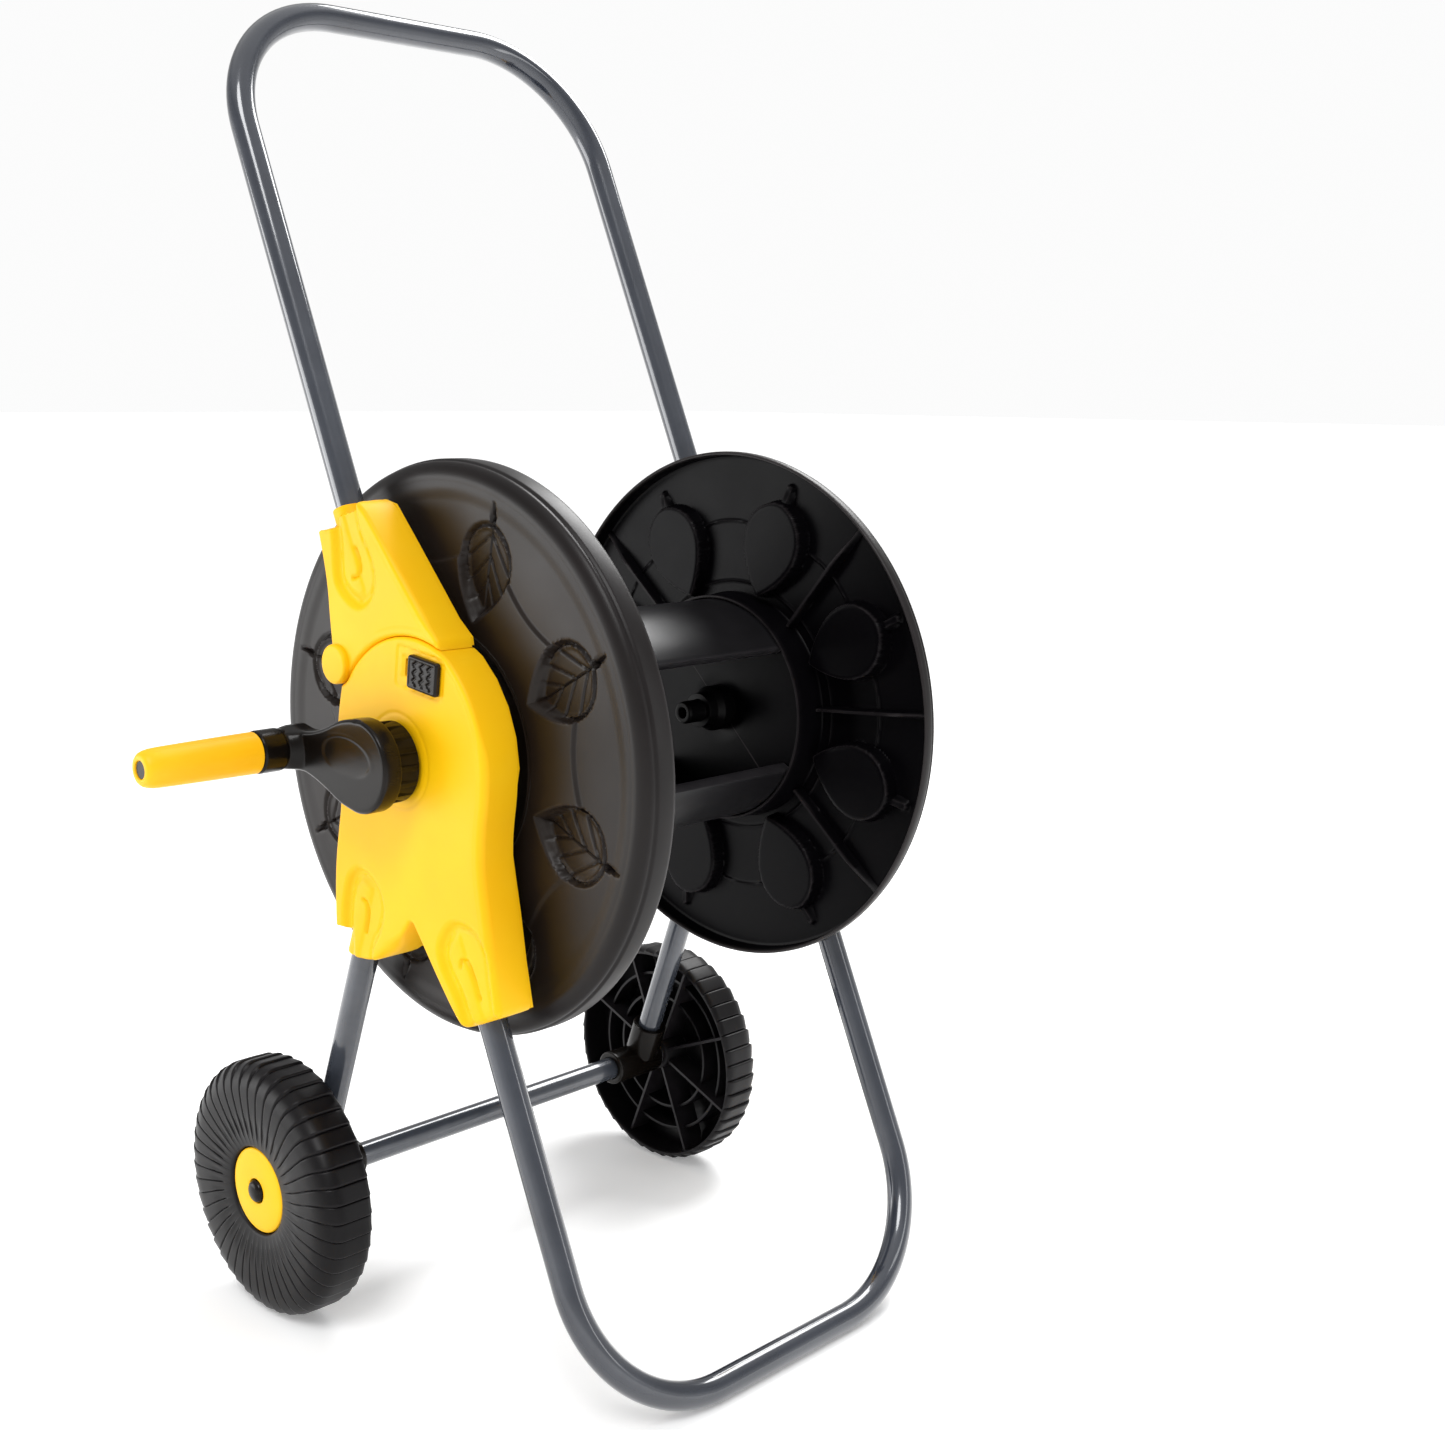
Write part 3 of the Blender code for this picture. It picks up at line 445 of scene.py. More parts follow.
def u_path(open_end, corner_z, steps=28):
    corner = np.array([LEG_X, leg_y(corner_z), corner_z])
    toward = LEG_DIR if corner_z < HUB_Z else -LEG_DIR
    mid = corner + toward * BEND_R - np.array([BEND_R, 0, 0])
    bend = [mid + np.array([BEND_R * math.cos(t), 0, 0]) - toward * (BEND_R * math.sin(t)) for t in np.linspace(0, math.pi / 2, steps)]
    start = np.array([LEG_X, 0, 0]) + open_end
    right = [start] + bend
    left = [np.array([-p[0], p[1], p[2]]) for p in right[::-1]]
    return np.array(right + left)


def tube(name, path, plane, body, radius, wall, stands_for, sides=48):
    b = np.asarray(plane, float)
    b = b / np.linalg.norm(b)
    path = np.asarray(path, float)
    tang = np.gradient(path, axis=0)
    seg = np.diff(path, axis=0)
    seg /= np.linalg.norm(seg, axis=1)[:, None]
    tang = np.vstack([seg[:1], seg[:-1] + seg[1:], seg[-1:]])
    tang /= np.linalg.norm(tang, axis=1)[:, None]
    side = np.cross(b, tang)
    side /= np.linalg.norm(side, axis=1)[:, None]
    th = np.linspace(0, 2 * math.pi, sides, endpoint=False)
    ring = lambda r: path[:, None] + r * (np.cos(th)[None, :, None] * side[:, None] + np.sin(th)[None, :, None] * b)
    verts = np.concatenate([ring(radius), ring(radius - wall)[::-1]])
    return piece(name, verts.reshape(-1, 3), grid_faces(2 * len(path), sides, True, True), TUBE, body, stands_for)


tube("frame_foot_tube", u_path(HUB_POINT - LEG_DIR * 55.0, FOOT_Z), PLANE, "frame", 9.28, 1.2, ["foot_tube"])
tube("frame_handle_tube", u_path(HUB_POINT + LEG_DIR * 93.0, HANDLE_TOP_Z), PLANE, "handle", 9.3, 1.2, ["handle_tube"])
for sign, side in ((-1, "left"), (1, "right")):
    at = np.array([sign * LEG_X, 0, 0]) + AXLE
    tube("frame_wheel_leg_" + side, [at + WLEG_DIR * 15.5, at + WLEG_DIR * 226.0], (1, 0, 0), "frame", 9.3, 1.2, ["wheel_leg_" + side])
tube("frame_cross_tube", [(-140.0, 129.9, 90.0), (140.0, 129.9, 90.0)], (0, 0, 1), "frame", 8.75, 1.2, ["cross_tube"])


# ------------------------------------------------------------------ discs
SECTOR = 96
LEAF = [(88.5, 0.0), (92.0, 4.2), (96.0, 8.2), (101.0, 12.6), (107.0, 17.0), (114.0, 21.0), (121.0, 23.8), (128.0, 25.0), (136.0, 24.4),
        (143.0, 21.8), (149.0, 17.2), (153.5, 11.2), (156.0, 5.6), (156.8, 0.0)]


def leaf_distance(r, w):
    """Signed distance into the leaf outline: positive inside."""
    poly = np.array(LEAF + [(a, -b) for a, b in LEAF[-2:0:-1]])
    p = np.stack([r.ravel(), w.ravel()], 1)
    d = seg_distance(p, poly, np.roll(poly, -1, axis=0))
    d[~inside(p, poly)] *= -1
    return d.reshape(r.shape)


def groove(distance, width, depth):
    return depth * smoothstep(1.0 - distance / width)


def outer_relief(r, phi):
    """Height added to the web's outer face (mm, negative into the disc). phi is the angle from the leaf's axis."""
    x, w = r * np.cos(phi), r * np.sin(phi)
    mid = np.abs(np.degrees(phi))
    link = 122.0 + 6.0 * np.clip((22.5 - mid) / 11.5, 0, 1.2) ** 2
    h = 1.5 * smoothstep((link + 1.6 - r) / 3.2) * smoothstep((r - 80) / 3.0) - 1.5
    # the flat beyond the link arcs sits level with the rim's shoulder again near the edge
    h = h + 1.1 * smoothstep((r - 160.0) / 10.0)
    d = leaf_distance(x, w)
    floor = -6.2 + 0.105 * (x - 120.0) - 0.02 * w
    wall = smoothstep(d / (2.4 + 6.2 * smoothstep((128.0 - x) / 36.0)))
    leaf = floor.copy()
    # midrib and side veins, cut as fine lines, with each half of the leaf slightly crowned
    p = np.stack([x.ravel(), w.ravel()], 1)
    leaf = leaf + 0.5 * np.exp(-(np.abs(w) - 9.0) ** 2 / 60.0)
    veins = [((95.0, 0.0), (154.0, 0.0))]
    for base, out_r, out_w in ((149.0, 128.0, 20.5), (135.0, 113.0, 17.0), (120.0, 102.0, 9.5)):
        for sgn in (1, -1):
            veins.append(((base, 0.0), (out_r, sgn * out_w)))
    for a, b in veins:
        a, b = np.array(a), np.array(b)
        dist = seg_distance(p, a[None], b[None]).reshape(r.shape)
        leaf = leaf - groove(dist, 1.1, 1.15)
    # a fine raised outline where the floor meets the wall
    leaf = leaf + 1.0 * smoothstep((d - 3.0) / 0.9) * smoothstep((6.4 - d) / 3.0) - 0.9 * smoothstep((3.4 - d) / 1.0)
    stem = seg_distance(p, np.array([[154.0, 0.0]]), np.array([[168.5, 1.4]])).reshape(r.shape)
    width = 3.2 - 1.6 * np.clip((x - 156.0) / 12.0, 0, 1)
    stem_cut = -4.2 * smoothstep((width - stem) / 2.2) * (x > 153) * (1 - 0.55 * smoothstep((x - 158.0) / 12.0))
    return np.where(d > 0, h * (1 - wall) + leaf * wall, np.minimum(h, h + stem_cut))


def inner_relief(r, phi, plain):
    """Height toward the drum side (mm) of bosses, ribs and lens-shaped recesses."""
    x, w = r * np.cos(phi), r * np.sin(phi)
    deg = np.degrees(phi)
    d = leaf_distance(x, w) + 2.6
    h = 10.0 * smoothstep(d / 1.5) + 0.9 * smoothstep((d - 1.0) / 3.0) * (d > 0)
    p = np.stack([x.ravel(), w.ravel()], 1)
    stem = seg_distance(p, np.array([[156.0, 0.0]]), np.array([[168.5, 1.0]])).reshape(r.shape)
    h = np.maximum(h, 6.2 * smoothstep((4.0 - stem) / 1.6) * (1 - 0.4 * smoothstep((x - 158) / 12)))
    mid = np.abs(deg)
    # lens recess either side of each rib
    away = np.clip((22.5 - mid) / 9.6, 0, 1.4)
    outer_arc = 135.0 - 1.5 * away ** 2
    inner_arc = 122.5 + 4.6 * away ** 2
    lens = smoothstep((r - inner_arc) / 1.6) * smoothstep((outer_arc - r) / 1.6) * smoothstep((mid - 11.8) / 1.6)
    h = h - 2.6 * lens * (d < 0) * plain
    h = h + 1.0 * np.exp(-((r - outer_arc - 1.0) / 0.8) ** 2) * (d < 0) * (mid > 10.5)
    h = h + 0.8 * np.exp(-((r - 92.0) / 0.9) ** 2) * (d < 0)
    # radial rib midway between bosses
    rib = np.abs(np.radians(22.5 - mid)) * r
    top = 8.0 * (1 - 0.55 * smoothstep((r - 150.0) / 32.0))
    h = np.maximum(h, top * smoothstep((1.9 - rib) / 0.8) * (1 - plain))
    return h


def disc(side, sign, rim, bore):
    outer_rows = [(137.0, r) for r in np.arange(81.6, 173.0, 0.95)]
    inner_rows = [(133.9, r) for r in np.arange(181.0, 83.4, -1.0)]
    groove_in = 0.8
    rimtop = [(136.9, 174.4), (136.6, 176.4), (136.1, 178.3), (135.4, 180.0), (134.5, 181.6), (133.5, 182.9), (132.4, 183.9), (131.3, 184.5), (130.6, 184.5),
              (130.1, 184.45), (129.4, 184.45), (128.9, 184.7), (128.4, 185.3), (127.8, 185.8), (127.0, 186.0), (rim + 3.0, 186.0), (rim + 1.0, 185.8), (rim + 0.2, 185.2),
              (rim, 184.6), (rim + 0.3, 183.9), (rim + 1.0, 183.5), (rim + 3.0, 183.2), (132.0, 182.9), (133.4, 182.2)]
    inner_hub = [(133.2, 83.3), (132.0, 82.9), (110.0, 82.7), (109.2, 82.4), (109.0, 81.6), (109.2, 80.9), (110.0, 80.5), (114.6, 80.5), (115.0, 80.0), (115.0, 60.0), (115.0, 40.0),
                 (115.0, 28.0), (115.0, bore + 1.0), (115.4, bore + 0.2), (116.0, bore), (144.4, bore), (145.0, bore + 0.6), (145.0, 20.4), (144.6, 21.2), (143.6, 21.6),
                 (120.0, 22.4), (118.6, 22.9), (118.0, 24.2), (118.0, 40.0), (118.0, 60.0), (118.0, 75.0), (118.5, 77.0), (119.8, 77.9), (133.5, 78.9), (135.6, 79.3), (136.6, 80.0)]
    rows = outer_rows + rimtop + inner_rows + inner_hub
    base = np.array(rows)
    n_out, n_rim, n_in = len(outer_rows), len(rimtop), len(inner_rows)
    phi = (np.arange(SECTOR) / SECTOR - 0.5) * math.radians(45.0)
    s = np.repeat(base[:, :1], SECTOR, axis=1)
    r = np.repeat(base[:, 1:], SECTOR, axis=1)
    P = np.repeat(phi[None], len(base), axis=0)
    s[:n_out] += outer_relief(r[:n_out], P[:n_out])
    i0 = n_out + n_rim
    inner_r, inner_p = r[i0:i0 + n_in], P[i0:i0 + n_in]
    s = np.tile(s, (1, 8))
    for k in range(8):
        # the two gaps above and below the drum carry a sunk lens in place of the rib
        before, after = float(k in (2, 6)), float(k in (1, 5))
        plain = np.where(inner_p < 0, before, after)
        s[i0:i0 + n_in, k * SECTOR:(k + 1) * SECTOR] -= inner_relief(inner_r, inner_p, plain)
    r = np.tile(r, (1, 8))
    ang = (27.0 + 45.0 * (np.arange(8 * SECTOR) // SECTOR)) + np.degrees(np.tile(phi, 8))
    t = np.radians(ang)[None]
    # angles run from -Y toward +Z
    verts = np.stack([sign * s, -r * np.cos(t), HUB_Z + r * np.sin(t)], -1)
    return piece("reel_disc_" + side, verts.reshape(-1, 3), grid_faces(len(base), 8 * SECTOR, True, True), DISC, "reel", ["disc_" + side], angle=38.0)


disc("left", -1, 114.0, 9.3)
disc("right", 1, 121.5, 10.3)


# ------------------------------------------------------------------ drum staves
def stave(name, start, end, node):
    """Shell with turned-in edges and a zigzag of ribs inside."""
    rows = []
    a0, a1 = math.radians(start), math.radians(end)
    lip = math.radians(2.0)
    for t in np.linspace(a0 + 0.02, a1 - 0.02, 72):
        rows.append((79.8, t))
    rows += [(79.4, a1 - 0.006), (78.6, a1), (72.0, a1), (71.2, a1 - 0.006), (71.0, a1 - 0.5 * lip), (71.3, a1 - lip), (76.4, a1 - lip), (77.0, a1 - lip - 0.01)]
    for t in np.linspace(a1 - lip - 0.03, a0 + lip + 0.03, 68):
        rows.append((77.2, t))
    rows += [(77.0, a0 + lip + 0.01), (76.4, a0 + lip), (71.3, a0 + lip), (71.0, a0 + 0.5 * lip), (71.2, a0 + 0.006), (72.0, a0), (78.6, a0), (79.4, a0 + 0.006)]
    base = np.array(rows)
    xs = np.array([-114.7, -114.2] + list(np.linspace(-112, 112, 9)) + [114.2, 114.7])
    inset = np.array([0.5, 0.0] + [0.0] * 9 + [0.0, 0.5])
    verts = []
    for x, i in zip(xs, inset):
        rr = base[:, 0] - i * np.where(base[:, 0] > 77.6, 1, 0)
        verts.append(np.stack([np.full(len(base), x), -rr * np.cos(base[:, 1]), HUB_Z + rr * np.sin(base[:, 1])], -1))
    verts = np.array(verts)
    n = len(base)
    faces = [list(f) for f in grid_faces(len(xs), n, False, True)]
    faces.append(list(range(n))[::-1])
    faces.append(list(range((len(xs) - 1) * n, len(xs) * n)))
    made = piece(name, verts.reshape(-1, 3), faces, STAVE, "reel", [node])
    # lattice of thin ribs standing inside the shell
    bars = []
    span = a1 - a0
    xs = np.linspace(-104, 104, 5)
    lo, hi = a0 + 0.12 * span, a1 - 0.12 * span
    verts, faces = [], []
    for k in range(4):
        for x0, x1, t0, t1 in ((xs[k], xs[k + 1], lo, hi), (xs[k], xs[k + 1], hi, lo)):
            c = []
            for f in np.linspace(0, 1, 9):
                c.append((x0 + (x1 - x0) * f, t0 + (t1 - t0) * f))
            c = np.array(c)
            base_i = len(verts)
            for x, t in c:
                for dx, rad in ((-0.8, 77.5), (0.8, 77.5), (0.6, 71.5), (-0.6, 71.5)):
                    verts.append((x + dx, -rad * math.cos(t), HUB_Z + rad * math.sin(t)))
            for i in range(len(c) - 1):
                for j in range(4):
                    a, b = base_i + i * 4 + j, base_i + i * 4 + (j + 1) % 4
                    faces.append((a, b, b + 4, a + 4))
            faces.append((base_i, base_i + 1, base_i + 2, base_i + 3))
            e = base_i + (len(c) - 1) * 4
            faces.append((e + 3, e + 2, e + 1, e))
    piece(name + "_lattice", np.array(verts), faces, STAVE, "reel", ())
    return made


stave("drum_shell_top", 39.0, 153.0, "drum_stave_top")
stave("drum_shell_bottom", -141.0, -27.0, "drum_stave_bottom")


# ------------------------------------------------------------------ brackets
def arc(centre, radius, start, end, steps):
    t = np.radians(np.linspace(start, end, steps + 1))
    return [(centre[0] + radius * math.cos(a), centre[1] + radius * math.sin(a)) for a in t]


def seam(radius, steps):
    toward = math.degrees(math.atan2(PIN_AT[1] - SEAM_CENTRE[1], PIN_AT[0] - SEAM_CENTRE[0]))
    last = math.degrees(math.acos((-42.0 - SEAM_CENTRE[0]) / radius))
    return arc(SEAM_CENTRE, radius, toward, last, steps)


LOWER_EDGE = [(-83.9, -4.0), (-83.4, -11.0), (-82.5, -18.0), (-81.3, -25.0), (-80.1, -32.0), (-79.2, -40.0), (-78.8, -48.0), (-79.0, -57.0), (-80.2, -68.0), (-83.6, -87.0), (-88.6, -116.0), (-94.6, -145.4)]
LOWER_LEGS = [
    (-60.0, -161.6), (-53.0, -157.6), (-31.0, -129.5), (-9.0, -101.5), (11.0, -128.0), (31.0, -137.6),
    (48.0, -141.6), (69.0, -141.0), (74.2, -134.0), (74.4, -104.5), (72.8, -79.5), (69.0, -58.5),
    (63.8, -34.0), (66.4, -12.0), (67.0, 6.0), (65.0, 23.0),
]
UPPER_EDGE = [(-41.0, 79.6), (-28.0, 90.0), (-2.0, 118.5), (14.0, 136.0), (34.0, 157.5)]
UPPER_TOP = [(46.0, 160.0), (71.0, 153.0), (83.0, 142.0), (77.0, 121.0), (73.2, 102.0), (72.0, 84.0)]


def lower_outline(steps=24):
    line = seam(SEAM_LOW, steps)
    start = math.degrees(math.atan2(SEAM_CENTRE[1] - PIN_AT[1], SEAM_CENTRE[0] - PIN_AT[0]))
    end = math.degrees(math.atan2(40.8 - PIN_AT[1], 60.2 - PIN_AT[0]))
    if start > end:
        end += 360.0
    notch = arc(PIN_AT, 13.3, end, start, 10)[:-1]
    edge = arc((2.5, 0), 86.5, 127.0, 178.0, 14)
    return notch + line + edge + LOWER_EDGE + LOWER_LEGS


def upper_outline(steps=24):
    line = seam(SEAM_UP, steps)
    start = math.degrees(math.atan2(66.4 - PIN_AT[1], 70.4 - PIN_AT[0]))
    end = math.degrees(math.atan2(SEAM_CENTRE[1] - PIN_AT[1], SEAM_CENTRE[0] - PIN_AT[0]))
    if end < 0:
        end += 360.0
    knuckle = arc(PIN_AT, 13.0, start, end - 360.0, 24)[:-1]
    return knuckle + line + UPPER_EDGE + UPPER_TOP


def blend_corners(poly, soften_from, passes=3):
    """Rounds the slight kinks of a traced outline by cutting its corners, sharp turns least of all."""
    pts = np.array(poly, float)
    for _ in range(passes):
        out = []
        n = len(pts)
        for i in range(n):
            a, p, b = pts[i - 1], pts[i], pts[(i + 1) % n]
            la, lb = np.linalg.norm(p - a), np.linalg.norm(b - p)
            if min(la, lb) < 1.2:
                out.append(p)
                continue
            turn = math.degrees(math.acos(np.clip(np.dot(p - a, b - p) / (la * lb), -1, 1)))
            share = 0.25 if turn < 38 else 0.0
            reach = min(la, lb) if turn < 38 else min(4.5, la * 0.4, lb * 0.4)
            if turn < 0.5:
                out.append(p)
            elif share:
                out.append(p - (p - a) * share)
                out.append(p + (b - p) * share)
            elif turn < 110:
                cut = min(2.4, la * 0.3, lb * 0.3)
                out.append(p - (p - a) / la * cut)
                out.append(p + (b - p) / lb * cut)
            else:
                out.append(p)
        pts = np.array(out)
    return pts


def signed_area(poly):
    x, y = poly[:, 0], poly[:, 1]
    return 0.5 * np.sum(x * np.roll(y, -1) - y * np.roll(x, -1))


def resample(poly, step):
    out = []
    for a, b in zip(poly, np.roll(poly, -1, axis=0)):
        k = max(1, int(round(np.linalg.norm(b - a) / step)))
        for t in np.arange(k) / k:
            out.append(a + (b - a) * t)
    return np.array(out)


def line_side(p, at, along):
    """Distance of points (n, 2) from the line through `at`, and the distance along it."""
    d = np.array(along, float)
    d = d / np.linalg.norm(d)
    rel = p - np.array(at, float)
    return np.abs(rel[:, 0] * d[1] - rel[:, 1] * d[0]), rel @ d


def lens_mask(p, curve, soft):
    """1 inside a closed smooth curve, falling to 0 across its edge."""
    c = spline(curve, 1.5, closed=True)
    d = seg_distance(p, c, np.roll(c, -1, axis=0))
    d[~inside(p, c)] *= -1
    return smoothstep(d / soft + 0.5), d


def lock_local(p):
    t = math.radians(7.0)
    rel = p - np.array([-29.8, 57.0])
    return np.stack([rel[:, 0] * math.cos(t) + rel[:, 1] * math.sin(t), -rel[:, 0] * math.sin(t) + rel[:, 1] * math.cos(t)], 1)


def box_distance(q, lo, hi, r):
    """Signed distance to a rounded rectangle, positive inside."""
    c = (np.array(lo) + np.array(hi)) / 2
    h = (np.array(hi) - np.array(lo)) / 2 - r
    e = np.abs(q - c) - h
    outside = np.hypot(np.maximum(e[:, 0], 0), np.maximum(e[:, 1], 0)) + np.minimum(np.maximum(e[:, 0], e[:, 1]), 0)
    return r - outside


FRONT_AXIS = (leg_y(HUB_Z), LEG_LEAN)
REAR_TOP = np.array([129.9, 90.0])


def ridge(dist, radius, top, soft=1.0):
    """Cross-section of a half-round bulge: height over x = BACK side, falling steeply at `radius`."""
    inner = np.clip(dist / radius, 0, 1)
    return top * np.sqrt(np.maximum(0.0, 1 - inner ** 2))


def sleeve_drop(dist):
    """Depth below the face of the half-round cover of a leg tube, at a distance from the tube's axis."""
    return FACE - (157.4 + np.sqrt(np.maximum(0.0, 11.7 ** 2 - np.minimum(dist, 11.7) ** 2))) + 3.0 * smoothstep((dist - 11.2) / 2.5)


def hollow(p, curve, dist, depth=3.3):
    """A shallow scoop round a tube: a soft outer edge, a fine inner line, and the tube's bulge down its middle."""
    m, d = lens_mask(p, curve, 3.0)
    drop = depth * smoothstep((d + 0.6) / 3.8)
    drop += 0.6 * np.exp(-((d + 0.2) / 0.8) ** 2) * (d > -3)
    drop += 0.7 * np.exp(-((d - 5.0) / 0.8) ** 2)
    bulge = np.sqrt(np.maximum(0.0, 1 - np.clip(dist / 10.5, 0, 1) ** 2))
    drop -= 1.7 * bulge * smoothstep((d - 6.0) / 5.0)
    return drop


def incised(p, curve, width=1.0, depth=2.1):
    c = spline(curve, 0.8)
    return depth * np.exp(-(seg_distance(p, c[:-1], c[1:]) / width) ** 2)


def lower_height(p, edge):
    """How far the front face lies behind x = FACE at points p (y, z about the hub); edge is the distance to the outline."""
    broad = 2.8 + 2.8 * smoothstep((-30.0 - p[:, 0]) / 40.0) * smoothstep((30.0 - p[:, 1]) / 20.0)
    broad = broad + 6.0 * smoothstep((22.0 - np.hypot(p[:, 0] - 12.0, p[:, 1] + 130.0)) / 16.0)
    drop = rounded(p, edge, broad)
    drop += 0.35 * np.exp(-((edge - 5.2) / 0.8) ** 2) * smoothstep((-20.0 - p[:, 0]) / 30.0)
    front = [(-56.5, -92.5), (-47.0, -96.5), (-38.5, -107.0), (-36.5, -117.0), (-41.0, -129.0), (-52.0, -143.0), (-68.0, -170.0), (-92.5, -170.0), (-90.0, -146.0), (-87.0, -129.0), (-83.0, -108.0), (-72.5, -95.5)]
    dist, along = line_side(p, (FRONT_AXIS[0], 0.0), (LEG_LEAN, 1.0))
    drop = drop + hollow(p, front, dist)
    rear = [(47.5, -77.5), (58.0, -86.0), (64.0, -104.0), (65.0, -124.0), (62.0, -165.0), (40.0, -165.0), (33.0, -132.0), (24.0, -117.0), (19.5, -101.0), (24.0, -88.0), (36.0, -79.0)]
    dist, along = line_side(p, (129.9, 90.0 - HUB_Z), (-0.375, 1.0))
    drop = drop + hollow(p, rear, dist)
    # the face stops short on the wheel side, where only the tube's cover runs on
    t = np.minimum((p[:, 0] - 57.6) + 0.1 * (p[:, 1] + 122.0), -122.6 - p[:, 1])
    drop = np.where(t > -1.0, drop + (np.maximum(sleeve_drop(dist), drop) - drop) * smoothstep((t + 0.6) / 1.4), drop)
    drop += incised(p, [(-57.0, -121.5), (-57.4, -118.0), (-60.2, -116.6), (-63.6, -119.0), (-67.4, -125.0), (-71.0, -132.0), (-74.0, -139.0)])
    drop += incised(p, [(44.0, -99.0), (40.8, -100.5), (40.0, -105.0), (41.0, -112.0), (43.4, -121.0)])
    # land sunk round the lock: an outer step, and a second step round the open end of its slot
    q = lock_local(p)
    w = box_distance(q, (-17.0, -12.6), (29.5, 12.9), 2.5)
    drop += 0.6 * smoothstep((w + 0.3) / 0.7) + 0.5 * np.exp(-(w / 0.6) ** 2)
    w = box_distance(q, (-10.0, -7.6), (24.4, 7.6), 1.5)
    drop += 0.9 * smoothstep((w + 0.3) / 0.7)
    rr = np.hypot(p[:, 0], p[:, 1])
    drop += 0.4 * np.exp(-((rr - 30.0) / 1.0) ** 2)
    return drop


def upper_height(p, edge):
    broad = 2.8 + 2.2 * smoothstep((20.0 - p[:, 0]) / 30.0) * smoothstep((p[:, 1] - 80.0) / 15.0)
    drop = rounded(p, edge, broad)
    up = [(40.0, 91.5), (50.0, 94.5), (60.0, 102.0), (64.5, 112.0), (66.0, 137.0), (73.0, 180.0), (47.0, 180.0), (36.0, 144.0), (27.0, 130.0), (20.6, 113.5), (24.0, 101.0), (31.5, 94.0)]
    dist, along = line_side(p, (FRONT_AXIS[0], 0.0), (LEG_LEAN, 1.0))
    drop = drop + hollow(p, up, dist)
    t = np.minimum(p[:, 0] - 62.9, p[:, 1] - 141.6 + 0.14 * (p[:, 0] - 62.0))
    drop = np.where(t > -1.0, drop + (np.maximum(sleeve_drop(dist), drop) - drop) * smoothstep((t + 0.6) / 1.4), drop)
    t = np.minimum(p[:, 0] - 41.0, p[:, 1] - 151.5 + 0.28 * (p[:, 0] - 52.0))
    drop = np.where(t > -1.0, drop + (np.maximum(sleeve_drop(dist), drop) - drop) * smoothstep((t + 0.6) / 1.4), drop)
    drop += incised(p, [(45.0, 129.5), (41.2, 123.0), (39.8, 117.5), (41.4, 112.4), (46.2, 110.6)])
    # faint crease where the face turns down to its sloped shoulder
    drop += 0.4 * np.exp(-((edge - 4.6) / 0.9) ** 2) * smoothstep((30.0 - p[:, 0]) / 20.0)
    return drop


